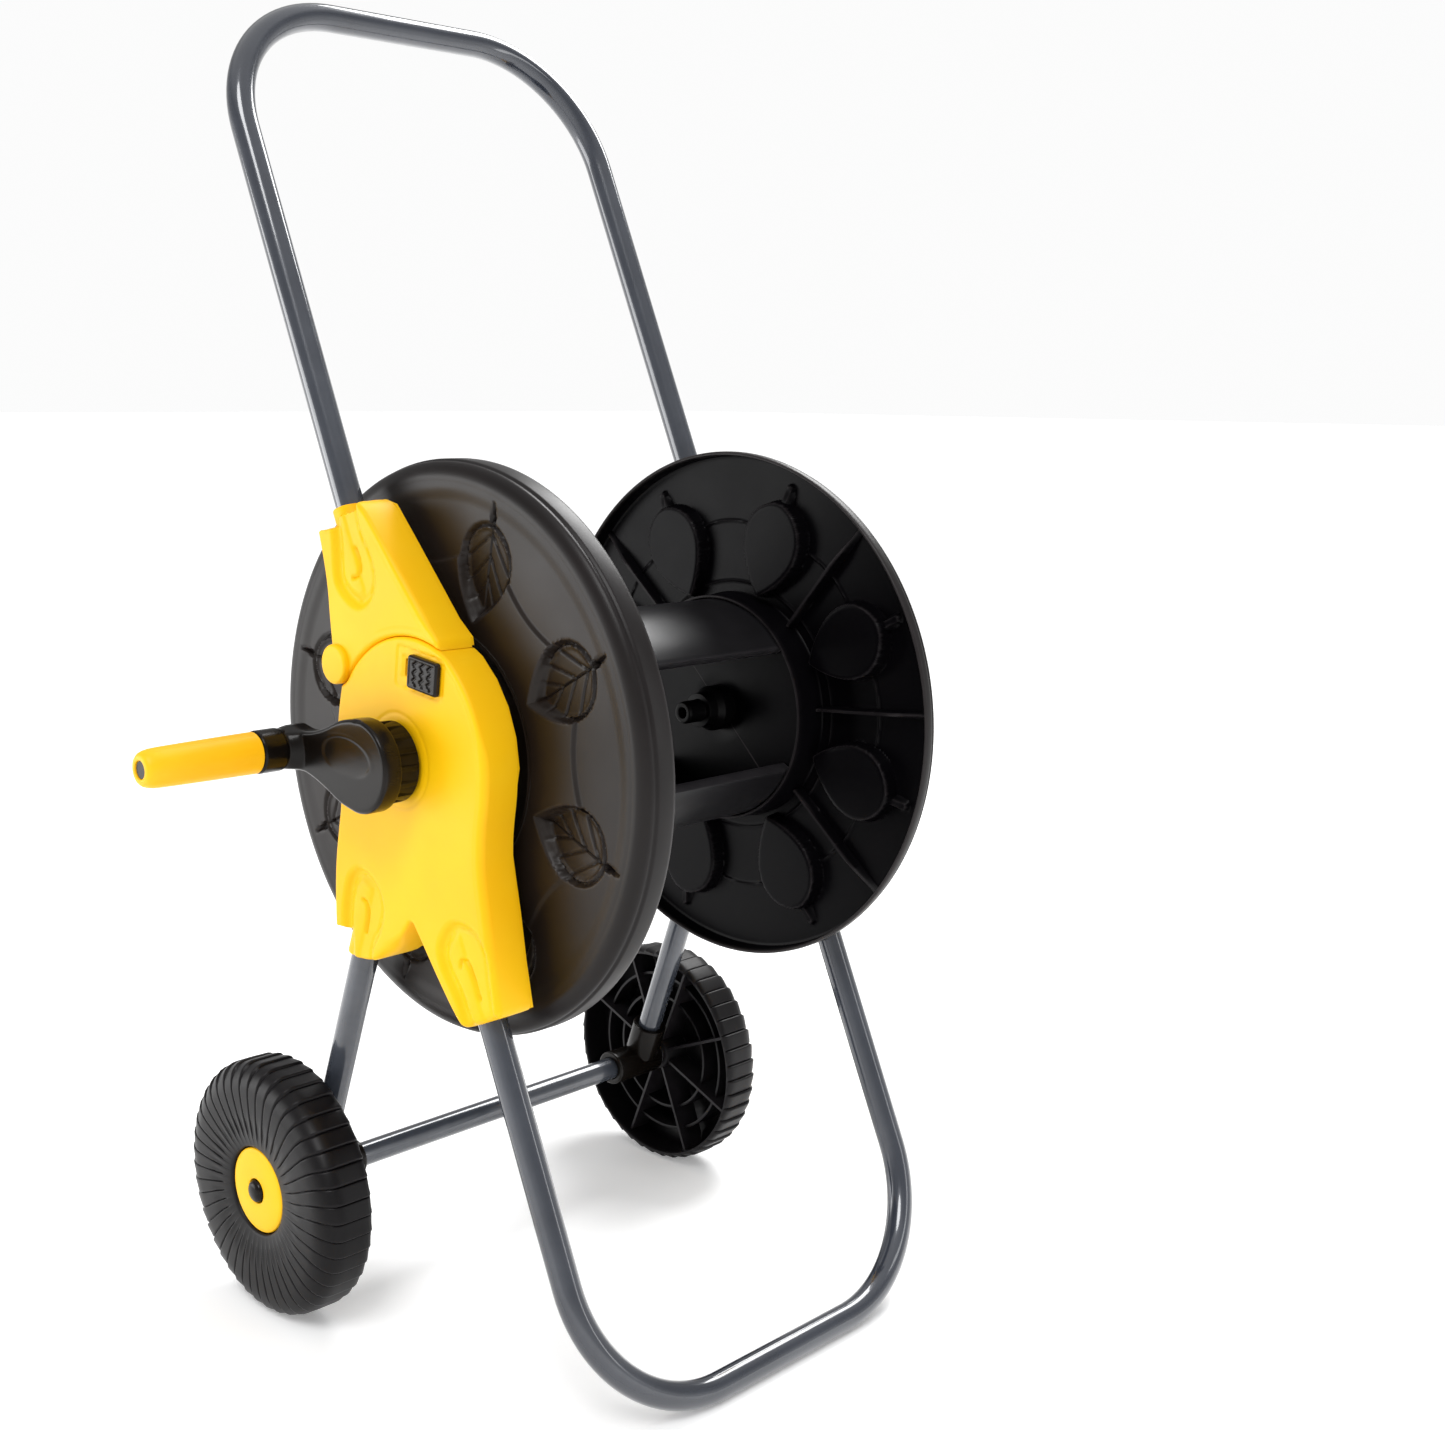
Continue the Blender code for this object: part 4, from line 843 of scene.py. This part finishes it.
def slab(name, outline, sign, front, back, mat, body, stands_for=(), spacing=1.3, holes=(), skirt=None, wall=2.3, rings=(0.25, 0.8, 1.6, 2.6), angle=40.0, round_from=6.0):
    """A dense triangulated face of an (y, z) outline about the hub. front(p, edge) and back(p, edge, front)
    give |x| of its two sides; with skirt set, the side walls run back to that |x| and the body is an open shell."""
    poly = blend_corners(outline, round_from) if round_from else np.array(outline, float)
    if signed_area(poly) < 0:
        poly = poly[::-1]
    rim = resample(poly, spacing)
    loops = [rim] + [resample(np.array(h, float), spacing) for h in holes]
    lo, hi = rim.min(0), rim.max(0)
    ys = np.arange(lo[0], hi[0], spacing)
    zs = np.arange(lo[1], hi[1], spacing * 0.87)
    Y, Z = np.meshgrid(ys, zs)
    Y = Y + 0.5 * spacing * (np.arange(len(zs)) % 2)[:, None]
    grid = np.stack([Y.ravel(), Z.ravel()], 1)
    near = np.full(len(grid), 1e9)
    for loop in loops:
        near = np.minimum(near, seg_distance(grid, loop, np.roll(loop, -1, axis=0)) + (0 if loop is rim else 1.6))
    keep = inside(grid, rim) & (near > max(rings) + spacing * 0.6)
    for h in loops[1:]:
        keep &= ~inside(grid, h)
    grid = grid[keep]
    nxt, prv = np.roll(rim, -1, axis=0), np.roll(rim, 1, axis=0)
    t = nxt - prv
    t /= np.linalg.norm(t, axis=1)[:, None]
    normal = np.stack([-t[:, 1], t[:, 0]], 1)
    extra = []
    for off in rings:
        ring = rim + normal * off
        dd = seg_distance(ring, rim, np.roll(rim, -1, axis=0))
        ok = (dd > off * 0.92) & inside(ring, rim)
        for h in loops[1:]:
            ok &= ~inside(ring, h)
        extra.append(ring[ok])
    pts, edges, start = [], [], 0
    for loop in loops:
        m = len(loop)
        pts.append(loop)
        edges += [(start + i, start + (i + 1) % m) for i in range(m)]
        start += m
    pts = np.vstack(pts + extra + [grid])
    res = delaunay_2d_cdt([Vector(p) for p in pts], edges, [], 1, 1e-5)
    v = np.array([tuple(p) for p in res[0]])
    f = np.array([tuple(t) for t in res[2]])
    mid = v[f].mean(1)
    bad = ~inside(mid, rim)
    for h in loops[1:]:
        bad |= inside(mid, h)
    f = f[~bad]
    index = {}
    for k, orig in enumerate(res[3]):
        for o in orig:
            index[o] = k
    seams, start = [], 0
    for loop in loops:
        seams.append([index[start + i] for i in range(len(loop))])
        start += len(loop)
    edge = seg_distance(v, rim, np.roll(rim, -1, axis=0))
    x = front(v, edge)
    nv = len(v)
    low2 = v.copy()
    if skirt is not None:
        a = rim
        b = np.roll(rim, -1, axis=0)
        best = np.full(nv, 1e9)
        push = np.zeros((nv, 2))
        close = np.where(edge < 8.0)[0]
        for s0, e0 in zip(a, b):
            d = e0 - s0
            length = max(np.dot(d, d), 1e-12)
            tt = np.clip(((v[close] - s0) @ d) / length, 0, 1)
            q = s0 + tt[:, None] * d
            dist = np.hypot(*(v[close] - q).T)
            better = dist < best[close]
            nn = np.array([-d[1], d[0]]) / math.sqrt(length)
            idx = close[better]
            best[idx] = dist[better]
            push[idx] = nn
        low2[close] += push[close] * (wall * (1 - edge[close] / 8.0))[:, None]
        xl = np.minimum(x - wall, FACE - wall)
    else:
        xl = back(v, edge, x)
    top = np.stack([sign * x, v[:, 0], v[:, 1] + HUB_Z], 1)
    low = np.stack([sign * xl, low2[:, 0], low2[:, 1] + HUB_Z], 1)
    verts = [top, low]
    faces = [f, f[:, ::-1] + nv]
    quads = []
    outer = seams[0]
    n = len(outer)
    if skirt is not None:
        base = 2 * nv
        inner_ring = low2[outer]
        reach = sign * (skirt(rim) if callable(skirt) else np.full(n, skirt))
        verts.append(np.stack([reach, rim[:, 0], rim[:, 1] + HUB_Z], 1))
        verts.append(np.stack([reach, inner_ring[:, 0], inner_ring[:, 1] + HUB_Z], 1))
        for i in range(n):
            j = (i + 1) % n
            for a, b, c, d in ((outer[i], outer[j], base + j, base + i), (base + i, base + j, base + n + j, base + n + i), (base + n + i, base + n + j, nv + outer[j], nv + outer[i])):
                quads.append((a, c, b))
                quads.append((a, d, c))
    else:
        for i in range(n):
            j = (i + 1) % n
            a, b, c, d = outer[i], outer[j], nv + outer[j], nv + outer[i]
            quads.append((a, c, b))
            quads.append((a, d, c))
    for loop, original in zip(seams[1:], loops[1:]):
        m = len(loop)
        turn = 1 if signed_area(original) > 0 else -1
        for i in range(m):
            j = (i + 1) % m
            a, b, c, d = loop[i], loop[j], nv + loop[j], nv + loop[i]
            if turn > 0:
                quads.append((a, b, c))
                quads.append((a, c, d))
            else:
                quads.append((a, c, b))
                quads.append((a, d, c))
    faces.append(np.array(quads))
    return piece(name, np.vstack(verts), np.vstack(faces), mat, body, stands_for, angle=angle)


def rounded(p, edge, radius):
    e = np.clip(1 - edge / radius, 0, 1)
    return radius * (1 - np.sqrt(np.maximum(0.0, 1 - e ** 2)))


def lock_rect(y0, y1, z0, z1, r=2.0, steps=6):
    t0 = math.radians(7.0)
    points = []
    for cy, cz, a in ((y1 - r, z1 - r, 0), (y0 + r, z1 - r, 90), (y0 + r, z0 + r, 180), (y1 - r, z0 + r, 270)):
        for i in range(steps):
            t = math.radians(a + 90.0 / (steps - 1) * i)
            dy, dz = cy + r * math.cos(t), cz + r * math.sin(t)
            points.append((-29.8 + dy * math.cos(t0) - dz * math.sin(t0), 57.0 + dy * math.sin(t0) + dz * math.cos(t0)))
    return points


def circle(y, z, r, steps=72):
    return [(y + r * math.cos(t), z + r * math.sin(t)) for t in np.linspace(0, 2 * math.pi, steps, endpoint=False)]


def slider_front(p, edge):
    q = lock_local(p)
    x = 178.2 - rounded(p, edge, 1.6)
    # three zigzag ribs inside a raised rim
    ribs = np.zeros(len(p))
    for u in (-7.2, 0.0, 7.2):
        points = np.array([(u + (1.7 if k % 2 else -1.7), -7.2 + 2.4 * k) for k in range(7)])
        ribs = np.maximum(ribs, smoothstep((1.0 - seg_distance(q, points[:-1], points[1:])) / 0.6))
    dish = smoothstep((edge - 1.9) / 0.9)
    return x - 0.35 * dish - 0.9 * ribs * dish


for sign, side in ((-1, "left"), (1, "right")):
    window = lock_rect(-8.3, 22.5, -5.8, 5.8, 1.0)
    slab("bracket_lower_" + side, lower_outline(), sign, lambda p, e: FACE - lower_height(p, e), None, YELLOW, "frame", ["lower_bracket_" + side],
         spacing=1.25, holes=[window, circle(0, 0, 14.3)], skirt=BACK)
    slab("bracket_upper_" + side, upper_outline(), sign, lambda p, e: FACE - upper_height(p, e), None, YELLOW, "handle", ["upper_bracket_" + side], spacing=1.25, skirt=BACK)
    pin = (0.0, PIN_AT[0], PIN_AT[1] + HUB_Z)
    turned("hinge_knuckle_" + side, soften([(148.4, 4.3), (148.4, 12.95), (172.3, 12.95), (172.3, 4.3)], 0.4, 2), YELLOW, "handle", pin, (sign, 0, 0), 96, ())
    rod("hinge_knuckle_face_" + side, [(172.0, 0.3), (172.0, 12.9), (172.1, 12.95), (176.4, 12.95), (177.0, 12.82), (177.5, 12.5), (177.9, 12.0), (178.1, 11.4), (178.2, 10.6), (178.2, 0.3)], YELLOW, "handle", pin, (sign, 0, 0), 96, ())
    slab("window_floor_" + side, lock_rect(-12.0, 27.0, -9.0, 9.0, 2.0), sign, lambda p, e: np.full(len(p), 168.2) - 0.7 * (np.abs(lock_local(p)[:, 0] - 18.6) < 0.8), lambda p, e, x: np.full(len(p), 165.0), YELLOW, "frame", (), spacing=1.5, round_from=0)
    face = lock_rect(-14.5, 14.5, -10.5, 10.5, 2.2)
    slab("lock_button_" + side, face, sign, slider_front, lambda p, e, x: np.full(len(p), 174.8), BLACK, "lock_l" if sign < 0 else "lock_r", ["lock_slider_" + side], spacing=0.6, rings=(0.2, 0.5, 1.0, 1.6), round_from=0)
    slab("lock_stem_" + side, lock_rect(-8.0, 11.2, -5.5, 5.5, 1.0), sign, lambda p, e: np.full(len(p), 175.6), lambda p, e, x: np.full(len(p), 170.4), BLACK, "lock_l" if sign < 0 else "lock_r", (), spacing=2.5, round_from=0)
    slab("lock_flange_" + side, lock_rect(-7.0, 10.2, -8.0, 8.0, 1.5), sign, lambda p, e: np.full(len(p), 171.4), lambda p, e, x: np.full(len(p), 168.6), BLACK, "lock_l" if sign < 0 else "lock_r", (), spacing=2.5, round_from=0)

t = math.radians(31.0)
peg_dir = np.array([0, -math.cos(t), math.sin(t)])
rod("hose_peg", soften([(0.0, 0.4), (0.0, 6.6), (27.8, 6.6), (27.8, 0.4)], 3.0, 6, closed=False), YELLOW, "frame", np.array([161.0, 0, HUB_Z]) + peg_dir * 79.0, peg_dir, 48, ())

# ------------------------------------------------------------------ wheels
WAVES = 44


def wheel_piece(side, sign, body):
    profile = [(176.0, 5.35), (203.0, 5.35), (203.0, 30.4), (203.4, 30.8), (206.0, 31.0), (206.8, 31.6), (207.4, 33.6), (208.7, 40.0), (209.7, 47.0), (210.2, 54.0), (210.3, 61.0), (210.2, 68.0), (209.8, 73.6),
               (208.8, 78.6), (207.1, 82.8), (204.8, 86.0), (201.8, 88.4), (198.0, 89.7), (194.0, 90.0), (186.0, 90.0), (181.0, 90.0), (177.0, 89.9), (174.6, 89.2), (173.2, 88.0), (172.9, 86.4), (172.9, 84.8), (173.6, 84.3),
               (180.0, 83.9), (190.0, 83.4), (197.0, 82.8), (201.0, 78.6), (204.4, 72.0), (206.0, 62.0), (206.6, 54.0), (204.4, 42.0), (200.4, 32.0), (199.8, 29.0), (199.5, 13.9), (199.0, 13.5), (176.6, 13.5), (176.0, 12.9)]
    prof = []
    for a, b in zip(profile, profile[1:] + profile[:1]):
        a, b = np.array(a), np.array(b)
        k = max(1, int(np.linalg.norm(b - a) / 2.6)) if a[1] > 29 and b[1] > 29 and (a[0] > 172.8) else 1
        for s in range(k):
            prof.append(a + (b - a) * s / k)
    prof = np.array(prof)
    outer = np.zeros(len(prof), bool)
    stop = int(np.argmin(np.hypot(prof[:, 0] - 172.9, prof[:, 1] - 86.4)))
    first = int(np.argmin(np.hypot(prof[:, 0] - 206.8, prof[:, 1] - 31.6)))
    outer[first:stop] = True
    tang = np.roll(prof, -1, axis=0) - np.roll(prof, 1, axis=0)
    tang /= np.linalg.norm(tang, axis=1)[:, None]
    nrm = np.stack([-tang[:, 1], tang[:, 0]], 1)
    run = np.concatenate([[0], np.cumsum(np.linalg.norm(np.diff(prof, axis=0), axis=1))])
    sides = WAVES * 22
    th = np.linspace(0, 2 * math.pi, sides, endpoint=False)
    # each groove leans over a little on its way from the cap to the inner edge
    along = run - run[first]
    total = run[stop] - run[first]
    f = along / total
    swing = -0.035 * smoothstep((f - 0.1) / 0.4) + 0.02 * smoothstep((f - 0.5) / 0.2)
    turn = ((th[None] + swing[:, None]) * WAVES / (2 * math.pi)) % 1.0
    line = np.exp(-(np.minimum(turn, 1 - turn) / 0.05) ** 2)
    start = np.clip((along - 9.0) / 3.0, 0, 1) * np.clip((total - along) / 2.0, 0, 1) * outer
    shoulder = smoothstep((f - 0.44) / 0.2) * outer
    wedge = np.exp(-((along - 15.0) / 7.0) ** 2) * outer
    depth = 1.1 * line * start[:, None] + 1.7 * (turn * shoulder[:, None]) * np.clip((total - along) / 2.0, 0, 1)[:, None] + 0.55 * wedge[:, None] * smoothstep((turn - 0.15) / 0.5)
    direction = nrm.copy()
    # inward from the outer skin
    test = prof[first + 5] + direction[first + 5]
    flip = -1.0 if test[0] > prof[first + 5][0] else 1.0
    a = prof[:, 0][:, None] + flip * direction[:, 0][:, None] * depth
    r = prof[:, 1][:, None] + flip * direction[:, 1][:, None] * depth
    u, v, w = frame_of((sign, 0, 0))
    d = np.cos(th)[:, None] * u[None] + np.sin(th)[:, None] * v[None]
    verts = AXLE[None, None] + a.T[..., None] * w + r.T[..., None] * d[:, None, :]
    piece("wheel_body_" + side, verts.reshape(-1, 3), grid_faces(sides, len(prof), True, True), WHEEL, body, ["wheel_" + side], angle=45.0)
    for k in range(8):
        t = math.radians(22.5 + 45.0 * k)
        dd, ee = np.array([0, math.cos(t), math.sin(t)]), np.array([0, -math.sin(t), math.cos(t)])
        pts, fs = [], []
        for x, reach in ((178.5, 84.2), (188.0, 83.9), (197.0, 82.9), (201.0, 75.0)):
            for a_, w_ in ((12.9, -1), (reach, -1), (reach, 1), (12.9, 1)):
                pts.append(AXLE + np.array([sign * x, 0, 0]) + dd * a_ + ee * w_ * 1.1)
        for i in range(3):
            for j in range(4):
                fs.append((4 * i + j, 4 * i + (j + 1) % 4, 4 * i + 4 + (j + 1) % 4, 4 * i + 4 + j))
        fs += [(3, 2, 1, 0), (12, 13, 14, 15)]
        piece("wheel_rib_%s_%d" % (side, k), np.array(pts), fs, WHEEL, body, ())
    for rr in (48.0, 66.0):
        front = 203.8 if rr < 50 else 204.6
        turned("wheel_ring_%s_%d" % (side, rr), soften([(184.0, rr - 1.1), (184.0, rr + 1.1), (front, rr + 1.1), (front, rr - 1.1)], 0.3, 2), WHEEL, body, tuple(AXLE), (sign, 0, 0), 96, ())
    cap = [(203.3, 8.7), (207.0, 8.7), (207.5, 9.3), (207.6, 12.0), (207.5, 18.0), (207.1, 23.2), (206.6, 27.2), (205.9, 29.2), (205.0, 30.0), (203.3, 30.0)]
    turned("wheel_hubcap_" + side, soften(cap, 0.4, 2), YELLOW, body, tuple(AXLE), (sign, 0, 0), 128, ["wheel_cap_" + side])
    dome = [(203.35, 5.3), (203.35, 7.9), (203.8, 8.0), (206.6, 8.0), (208.0, 7.7), (209.2, 6.9), (210.1, 5.6), (210.7, 3.8), (210.95, 1.8), (211.0, 0.3)]
    rod("axle_cap_" + side, [(207.25, 0.3), (207.25, 5.3)] + dome, BLACK, "frame", tuple(AXLE), (sign, 0, 0), 64, ["axle_dome_" + side])


wheel_piece("left", -1, "wheel_l")
wheel_piece("right", 1, "wheel_r")

# ------------------------------------------------------------------ elbows
for sign, side in ((-1, "left"), (1, "right")):
    at = np.array([sign * LEG_X, 0, 0]) + AXLE
    turned("elbow_body_" + side, soften([(124.0, 9.05), (124.0, 12.9), (126.0, 13.4), (170.6, 13.4), (172.0, 12.4), (172.0, 5.3), (140.5, 5.3), (140.5, 9.05)], 0.8, 3), BLACK, "frame", tuple(AXLE), (sign, 0, 0), 72, ["elbow_" + side])
    turned("elbow_post_" + side, soften([(6.0, 4.0), (6.0, 12.0), (7.0, 13.6), (35.0, 13.6), (35.0, 9.7), (15.2, 9.7), (15.2, 4.0)], 0.8, 3), BLACK, "frame", tuple(at), WLEG_DIR, 72, ())

# ------------------------------------------------------------------ crank
CRANK = np.array([0.0, 74.0, HUB_Z + 2.0])


def flutes(a, r, th):
    on = smoothstep((a - 177.8) / 0.8) * smoothstep((r - 24.0) / 1.0)
    panel = np.abs(((th * 15 / (2 * math.pi)) % 1.0) - 0.5)
    return -3.4 * on * smoothstep((0.36 - panel) / 0.06)


turned("crank_hub", soften([(177.0, 9.2), (177.0, 25.6), (198.5, 26.4), (198.5, 9.2)], 0.9, 4), BLACK, "reel", (0, 0, HUB_Z), (-1, 0, 0), 288, (), ripple=flutes)
paddle = [(a, b) for a, b in arc((0, 0), 29.5, -80, -280, 60)]
upper = spline([(-5.1, 29.05), (6.0, 28.9), (20.0, 26.0), (36.0, 19.5), (50.0, 15.5), (62.0, 14.4), (74.0, 16.6)], 1.2)[1:-1]
lower = spline([(74.0, -12.6), (62.0, -11.4), (50.0, -13.5), (36.0, -18.5), (20.0, -25.5), (5.1, -29.05)], 1.2)[1:-1]
paddle = paddle + [tuple(p) for p in upper] + [(a, b) for a, b in arc((74.0, 2.0), 14.6, 80, -80, 30)] + [tuple(p) for p in lower]


def paddle_front(p, edge):
    x = 206.0 - rounded(p, edge, 2.6)
    rr = np.hypot(p[:, 0] - 74.0, p[:, 1] - 2.0)
    x = x + 7.5 * smoothstep((20.5 - rr) / 8.0) ** 1.5 * smoothstep(edge / 3.0 + 0.3)
    # an oval hollow on the hub end: a crisp rim at its ends, running out smoothly below
    u, w = (p[:, 0] - 10.8) * 0.997 + (p[:, 1] - 4.5) * 0.08, -(p[:, 0] - 10.8) * 0.08 + (p[:, 1] - 4.5) * 0.997
    d = (1 - np.hypot(u / 25.5, w / 12.6)) * 12.6
    x = x - 0.4 * smoothstep((d + 0.3) / 1.8) * smoothstep((w + 13.0) / 14.0) * (1 - 0.5 * smoothstep(d / 9.0))
    x = x + 0.1 * np.exp(-((d + 0.9) / 0.9) ** 2) * smoothstep((w + 6.0) / 8.0)
    return x


slab("crank_paddle", paddle, -1, paddle_front, lambda p, e, x: 192.5 + rounded(p, e, 1.6), BLACK, "reel", ["crank_arm"], spacing=0.9, rings=(0.2, 0.6, 1.2, 2.0, 2.8), round_from=0)
turned("crank_collar", soften([(200.0, 4.4), (200.0, 13.2), (214.0, 13.2), (215.0, 13.95), (229.8, 13.95), (231.0, 13.2), (231.0, 4.4)], 0.6, 4), BLACK, "reel", tuple(CRANK), (-1, 0, 0), 96, ())
grip = [(231.4, 4.5), (231.4, 12.9), (231.9, 13.4), (240.0, 13.35), (260.0, 13.1), (280.0, 12.8), (296.0, 12.5), (302.0, 12.2), (305.4, 11.6), (307.8, 10.7), (309.2, 9.5), (309.9, 8.2), (309.95, 6.6), (309.6, 6.0), (309.0, 5.8), (305.6, 5.8), (305.6, 4.5)]
turned("grip_sleeve", grip, GRIP, "grip", tuple(CRANK), (-1, 0, 0), 128, ["crank_grip"])

# ------------------------------------------------------------------ water inlet and bushes
turned("hose_union", soften([
    (76.0, 4.0), (76.0, 7.2), (78.0, 8.2), (92.0, 8.2), (92.0, 12.5), (100.0, 13.0), (104.0, 16.5), (114.6, 16.5), (114.6, 10.0),
    (172.9, 10.0), (172.9, 6.1), (150.0, 6.1), (148.0, 4.0)], 0.7, 3), SHADED_DRUM_FITTING, "reel", (0, 0, HUB_Z), (1, 0, 0), 96, ["hose_connector"])
turned("inlet_elbow", soften([
    (150.4, 3.6), (150.4, 5.7), (174.8, 5.7), (174.8, 19.5), (178.2, 19.5), (179.2, 12.0), (189.0, 11.0), (189.0, 15.4), (190.2, 17.4), (194.0, 17.4),
    (195.2, 9.4), (221.0, 9.0), (221.0, 3.6)], 0.6, 3), BLACK, "frame", (0, 0, HUB_Z), (1, 0, 0), 96, ["inlet_body"])
turned("inlet_ring", soften([(195.6, 9.8), (195.6, 14.4), (197.0, 15.4), (203.6, 15.4), (205.0, 14.4), (205.0, 9.8)], 0.5, 3), BLACK, "frame", (0, 0, HUB_Z), (1, 0, 0), 288, ["inlet_nut"],
       ripple=lambda a, r, th: -0.5 * smoothstep((r - 14.0) / 0.8) * (0.5 + 0.5 * np.cos(th * 24)) ** 2)
turned("inlet_tail", soften([(205.4, 9.5), (205.4, 11.6), (210.0, 11.6), (211.0, 10.8), (224.5, 10.8), (226.0, 9.6), (226.0, 4.2), (221.4, 4.2), (221.4, 9.5)], 0.5, 3), BLACK, "frame", (0, 0, HUB_Z), (1, 0, 0), 96, ["inlet_nipple"])
for sign, side in ((-1, "left"), (1, "right")):
    bore = 9.4 if sign < 0 else 10.4
    end = 176.4 if sign < 0 else 174.2
    turned("bush_" + side, soften([(145.9, bore), (end, bore), (end, 14.0), (145.9, 14.0)], 0.6, 3), BLACK, "frame", (0, 0, HUB_Z), (sign, 0, 0), 96, ["spindle_bush_" + side])

# ------------------------------------------------------------------ finishes of the CAD nodes that stay
for name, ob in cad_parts.items():
    look = None
    if name.startswith(("lower_back", "upper_back")):
        look = YELLOW
    elif name.startswith(("hinge_pin", "washer", "axle_left", "axle_right", "crank_spindle")):
        look = STEEL
    elif name.startswith("inlet_seal"):
        look = SEAL
    elif name.startswith("grip_pin"):
        look = BLACK
    if look is not None:
        for s in ob.material_slots:
            s.material = look

# ------------------------------------------------------------------ floor, light, camera
floor_mat = bpy.data.materials.new("floor")
floor_mat.use_nodes = True
floor_mat.node_tree.nodes["Principled BSDF"].inputs["Base Color"].default_value = (0.95, 0.95, 0.95, 1)
floor_mat.node_tree.nodes["Principled BSDF"].inputs["Emission Color"].default_value = (1, 1, 1, 1)
floor_mat.node_tree.nodes["Principled BSDF"].inputs["Emission Strength"].default_value = 0.2
floor_mat.node_tree.nodes["Principled BSDF"].inputs["Roughness"].default_value = 0.9
floor_mat.node_tree.nodes["Principled BSDF"].inputs["Specular IOR Level"].default_value = 0.1
fm = bpy.data.meshes.new("floor")
fm.from_pydata([(-40, -40, -0.0005), (40, -40, -0.0005), (40, 40, -0.0005), (-40, 40, -0.0005)], [], [(0, 1, 2, 3)])
fm.materials.append(floor_mat)
floor = bpy.data.objects.new("floor", fm)
bpy.context.scene.collection.objects.link(floor)

world = bpy.data.worlds.new("studio")
world.use_nodes = True
wn, wl = world.node_tree.nodes, world.node_tree.links
sky = wn["Background"]
where = wn.new("ShaderNodeTexCoord")
split = wn.new("ShaderNodeSeparateXYZ")
wl.new(where.outputs["Generated"], split.inputs["Vector"])
fade = wn.new("ShaderNodeValToRGB")
stops = [(0.0, 0.95), (0.12, 0.8), (0.3, 0.42), (0.55, 0.34), (0.75, 0.75), (1.0, 0.9)]
while len(fade.color_ramp.elements) < len(stops):
    fade.color_ramp.elements.new(0.5)
for stop, (at, level) in zip(fade.color_ramp.elements, stops):
    stop.position = at
    stop.color = (level, level, level, 1)
wl.new(split.outputs["Z"], fade.inputs["Fac"])
seen = wn.new("ShaderNodeBackground")
seen.inputs["Color"].default_value = (0.97, 0.97, 0.97, 1)
path = wn.new("ShaderNodeLightPath")
both = wn.new("ShaderNodeMixShader")
wl.new(fade.outputs["Color"], sky.inputs["Color"])
wl.new(path.outputs["Is Camera Ray"], both.inputs["Fac"])
wl.new(sky.outputs["Background"], both.inputs[1])
wl.new(seen.outputs["Background"], both.inputs[2])
wl.new(both.outputs["Shader"], wn["World Output"].inputs["Surface"])
bpy.context.scene.world = world
bpy.context.scene.view_settings.view_transform = "Standard"

key = bpy.data.lights.new("key", "SUN")
key.energy = 1.3
key.angle = math.radians(24)
key_ob = bpy.data.objects.new("key", key)
key_ob.rotation_euler = (-Vector((-0.62, -0.42, 1.0))).to_track_quat("-Z", "Y").to_euler()
bpy.context.scene.collection.objects.link(key_ob)


def area(name, at, aim, size, size_y, power):
    data = bpy.data.lights.new(name, "AREA")
    data.shape = "RECTANGLE"
    data.size, data.size_y = size, size_y
    data.energy = power
    ob = bpy.data.objects.new(name, data)
    ob.location = at
    ob.rotation_euler = (Vector(aim) - Vector(at)).to_track_quat("-Z", "Y").to_euler()
    bpy.context.scene.collection.objects.link(ob)
    return ob


area("top", (1.7, 0.4, 2.3), (0.1, 0, 0.45), 1.3, 1.3, 60)
area("left", (-2.0, 1.9, 0.55), (0, 0, 0.45), 1.7, 1.1, 24)
area("front", (1.2, -2.2, 1.2), (0, 0, 0.4), 0.3, 1.8, 6)

cam_data = bpy.data.cameras.new("camera")
cam_data.sensor_width = 36.0
cam_data.lens = 45.84
cam_data.clip_end = 60.0
camera = bpy.data.objects.new("camera", cam_data)
az, el, roll = math.radians(-46.211), math.radians(10.002), math.radians(0.515)
back = Vector((math.sin(az) * math.cos(el), -math.cos(az) * math.cos(el), math.sin(el)))
fwd = -back
right = fwd.cross(Vector((0, 0, 1))).normalized()
up = right.cross(fwd)
r2 = right * math.cos(roll) + up * math.sin(roll)
u2 = -right * math.sin(roll) + up * math.cos(roll)
m = Matrix((r2, u2, back)).transposed().to_4x4()
m.translation = Vector((-0.80571, -0.944532, 0.636823))
camera.matrix_world = m
bpy.context.scene.collection.objects.link(camera)
bpy.context.scene.camera = camera

bpy.context.view_layer.update()
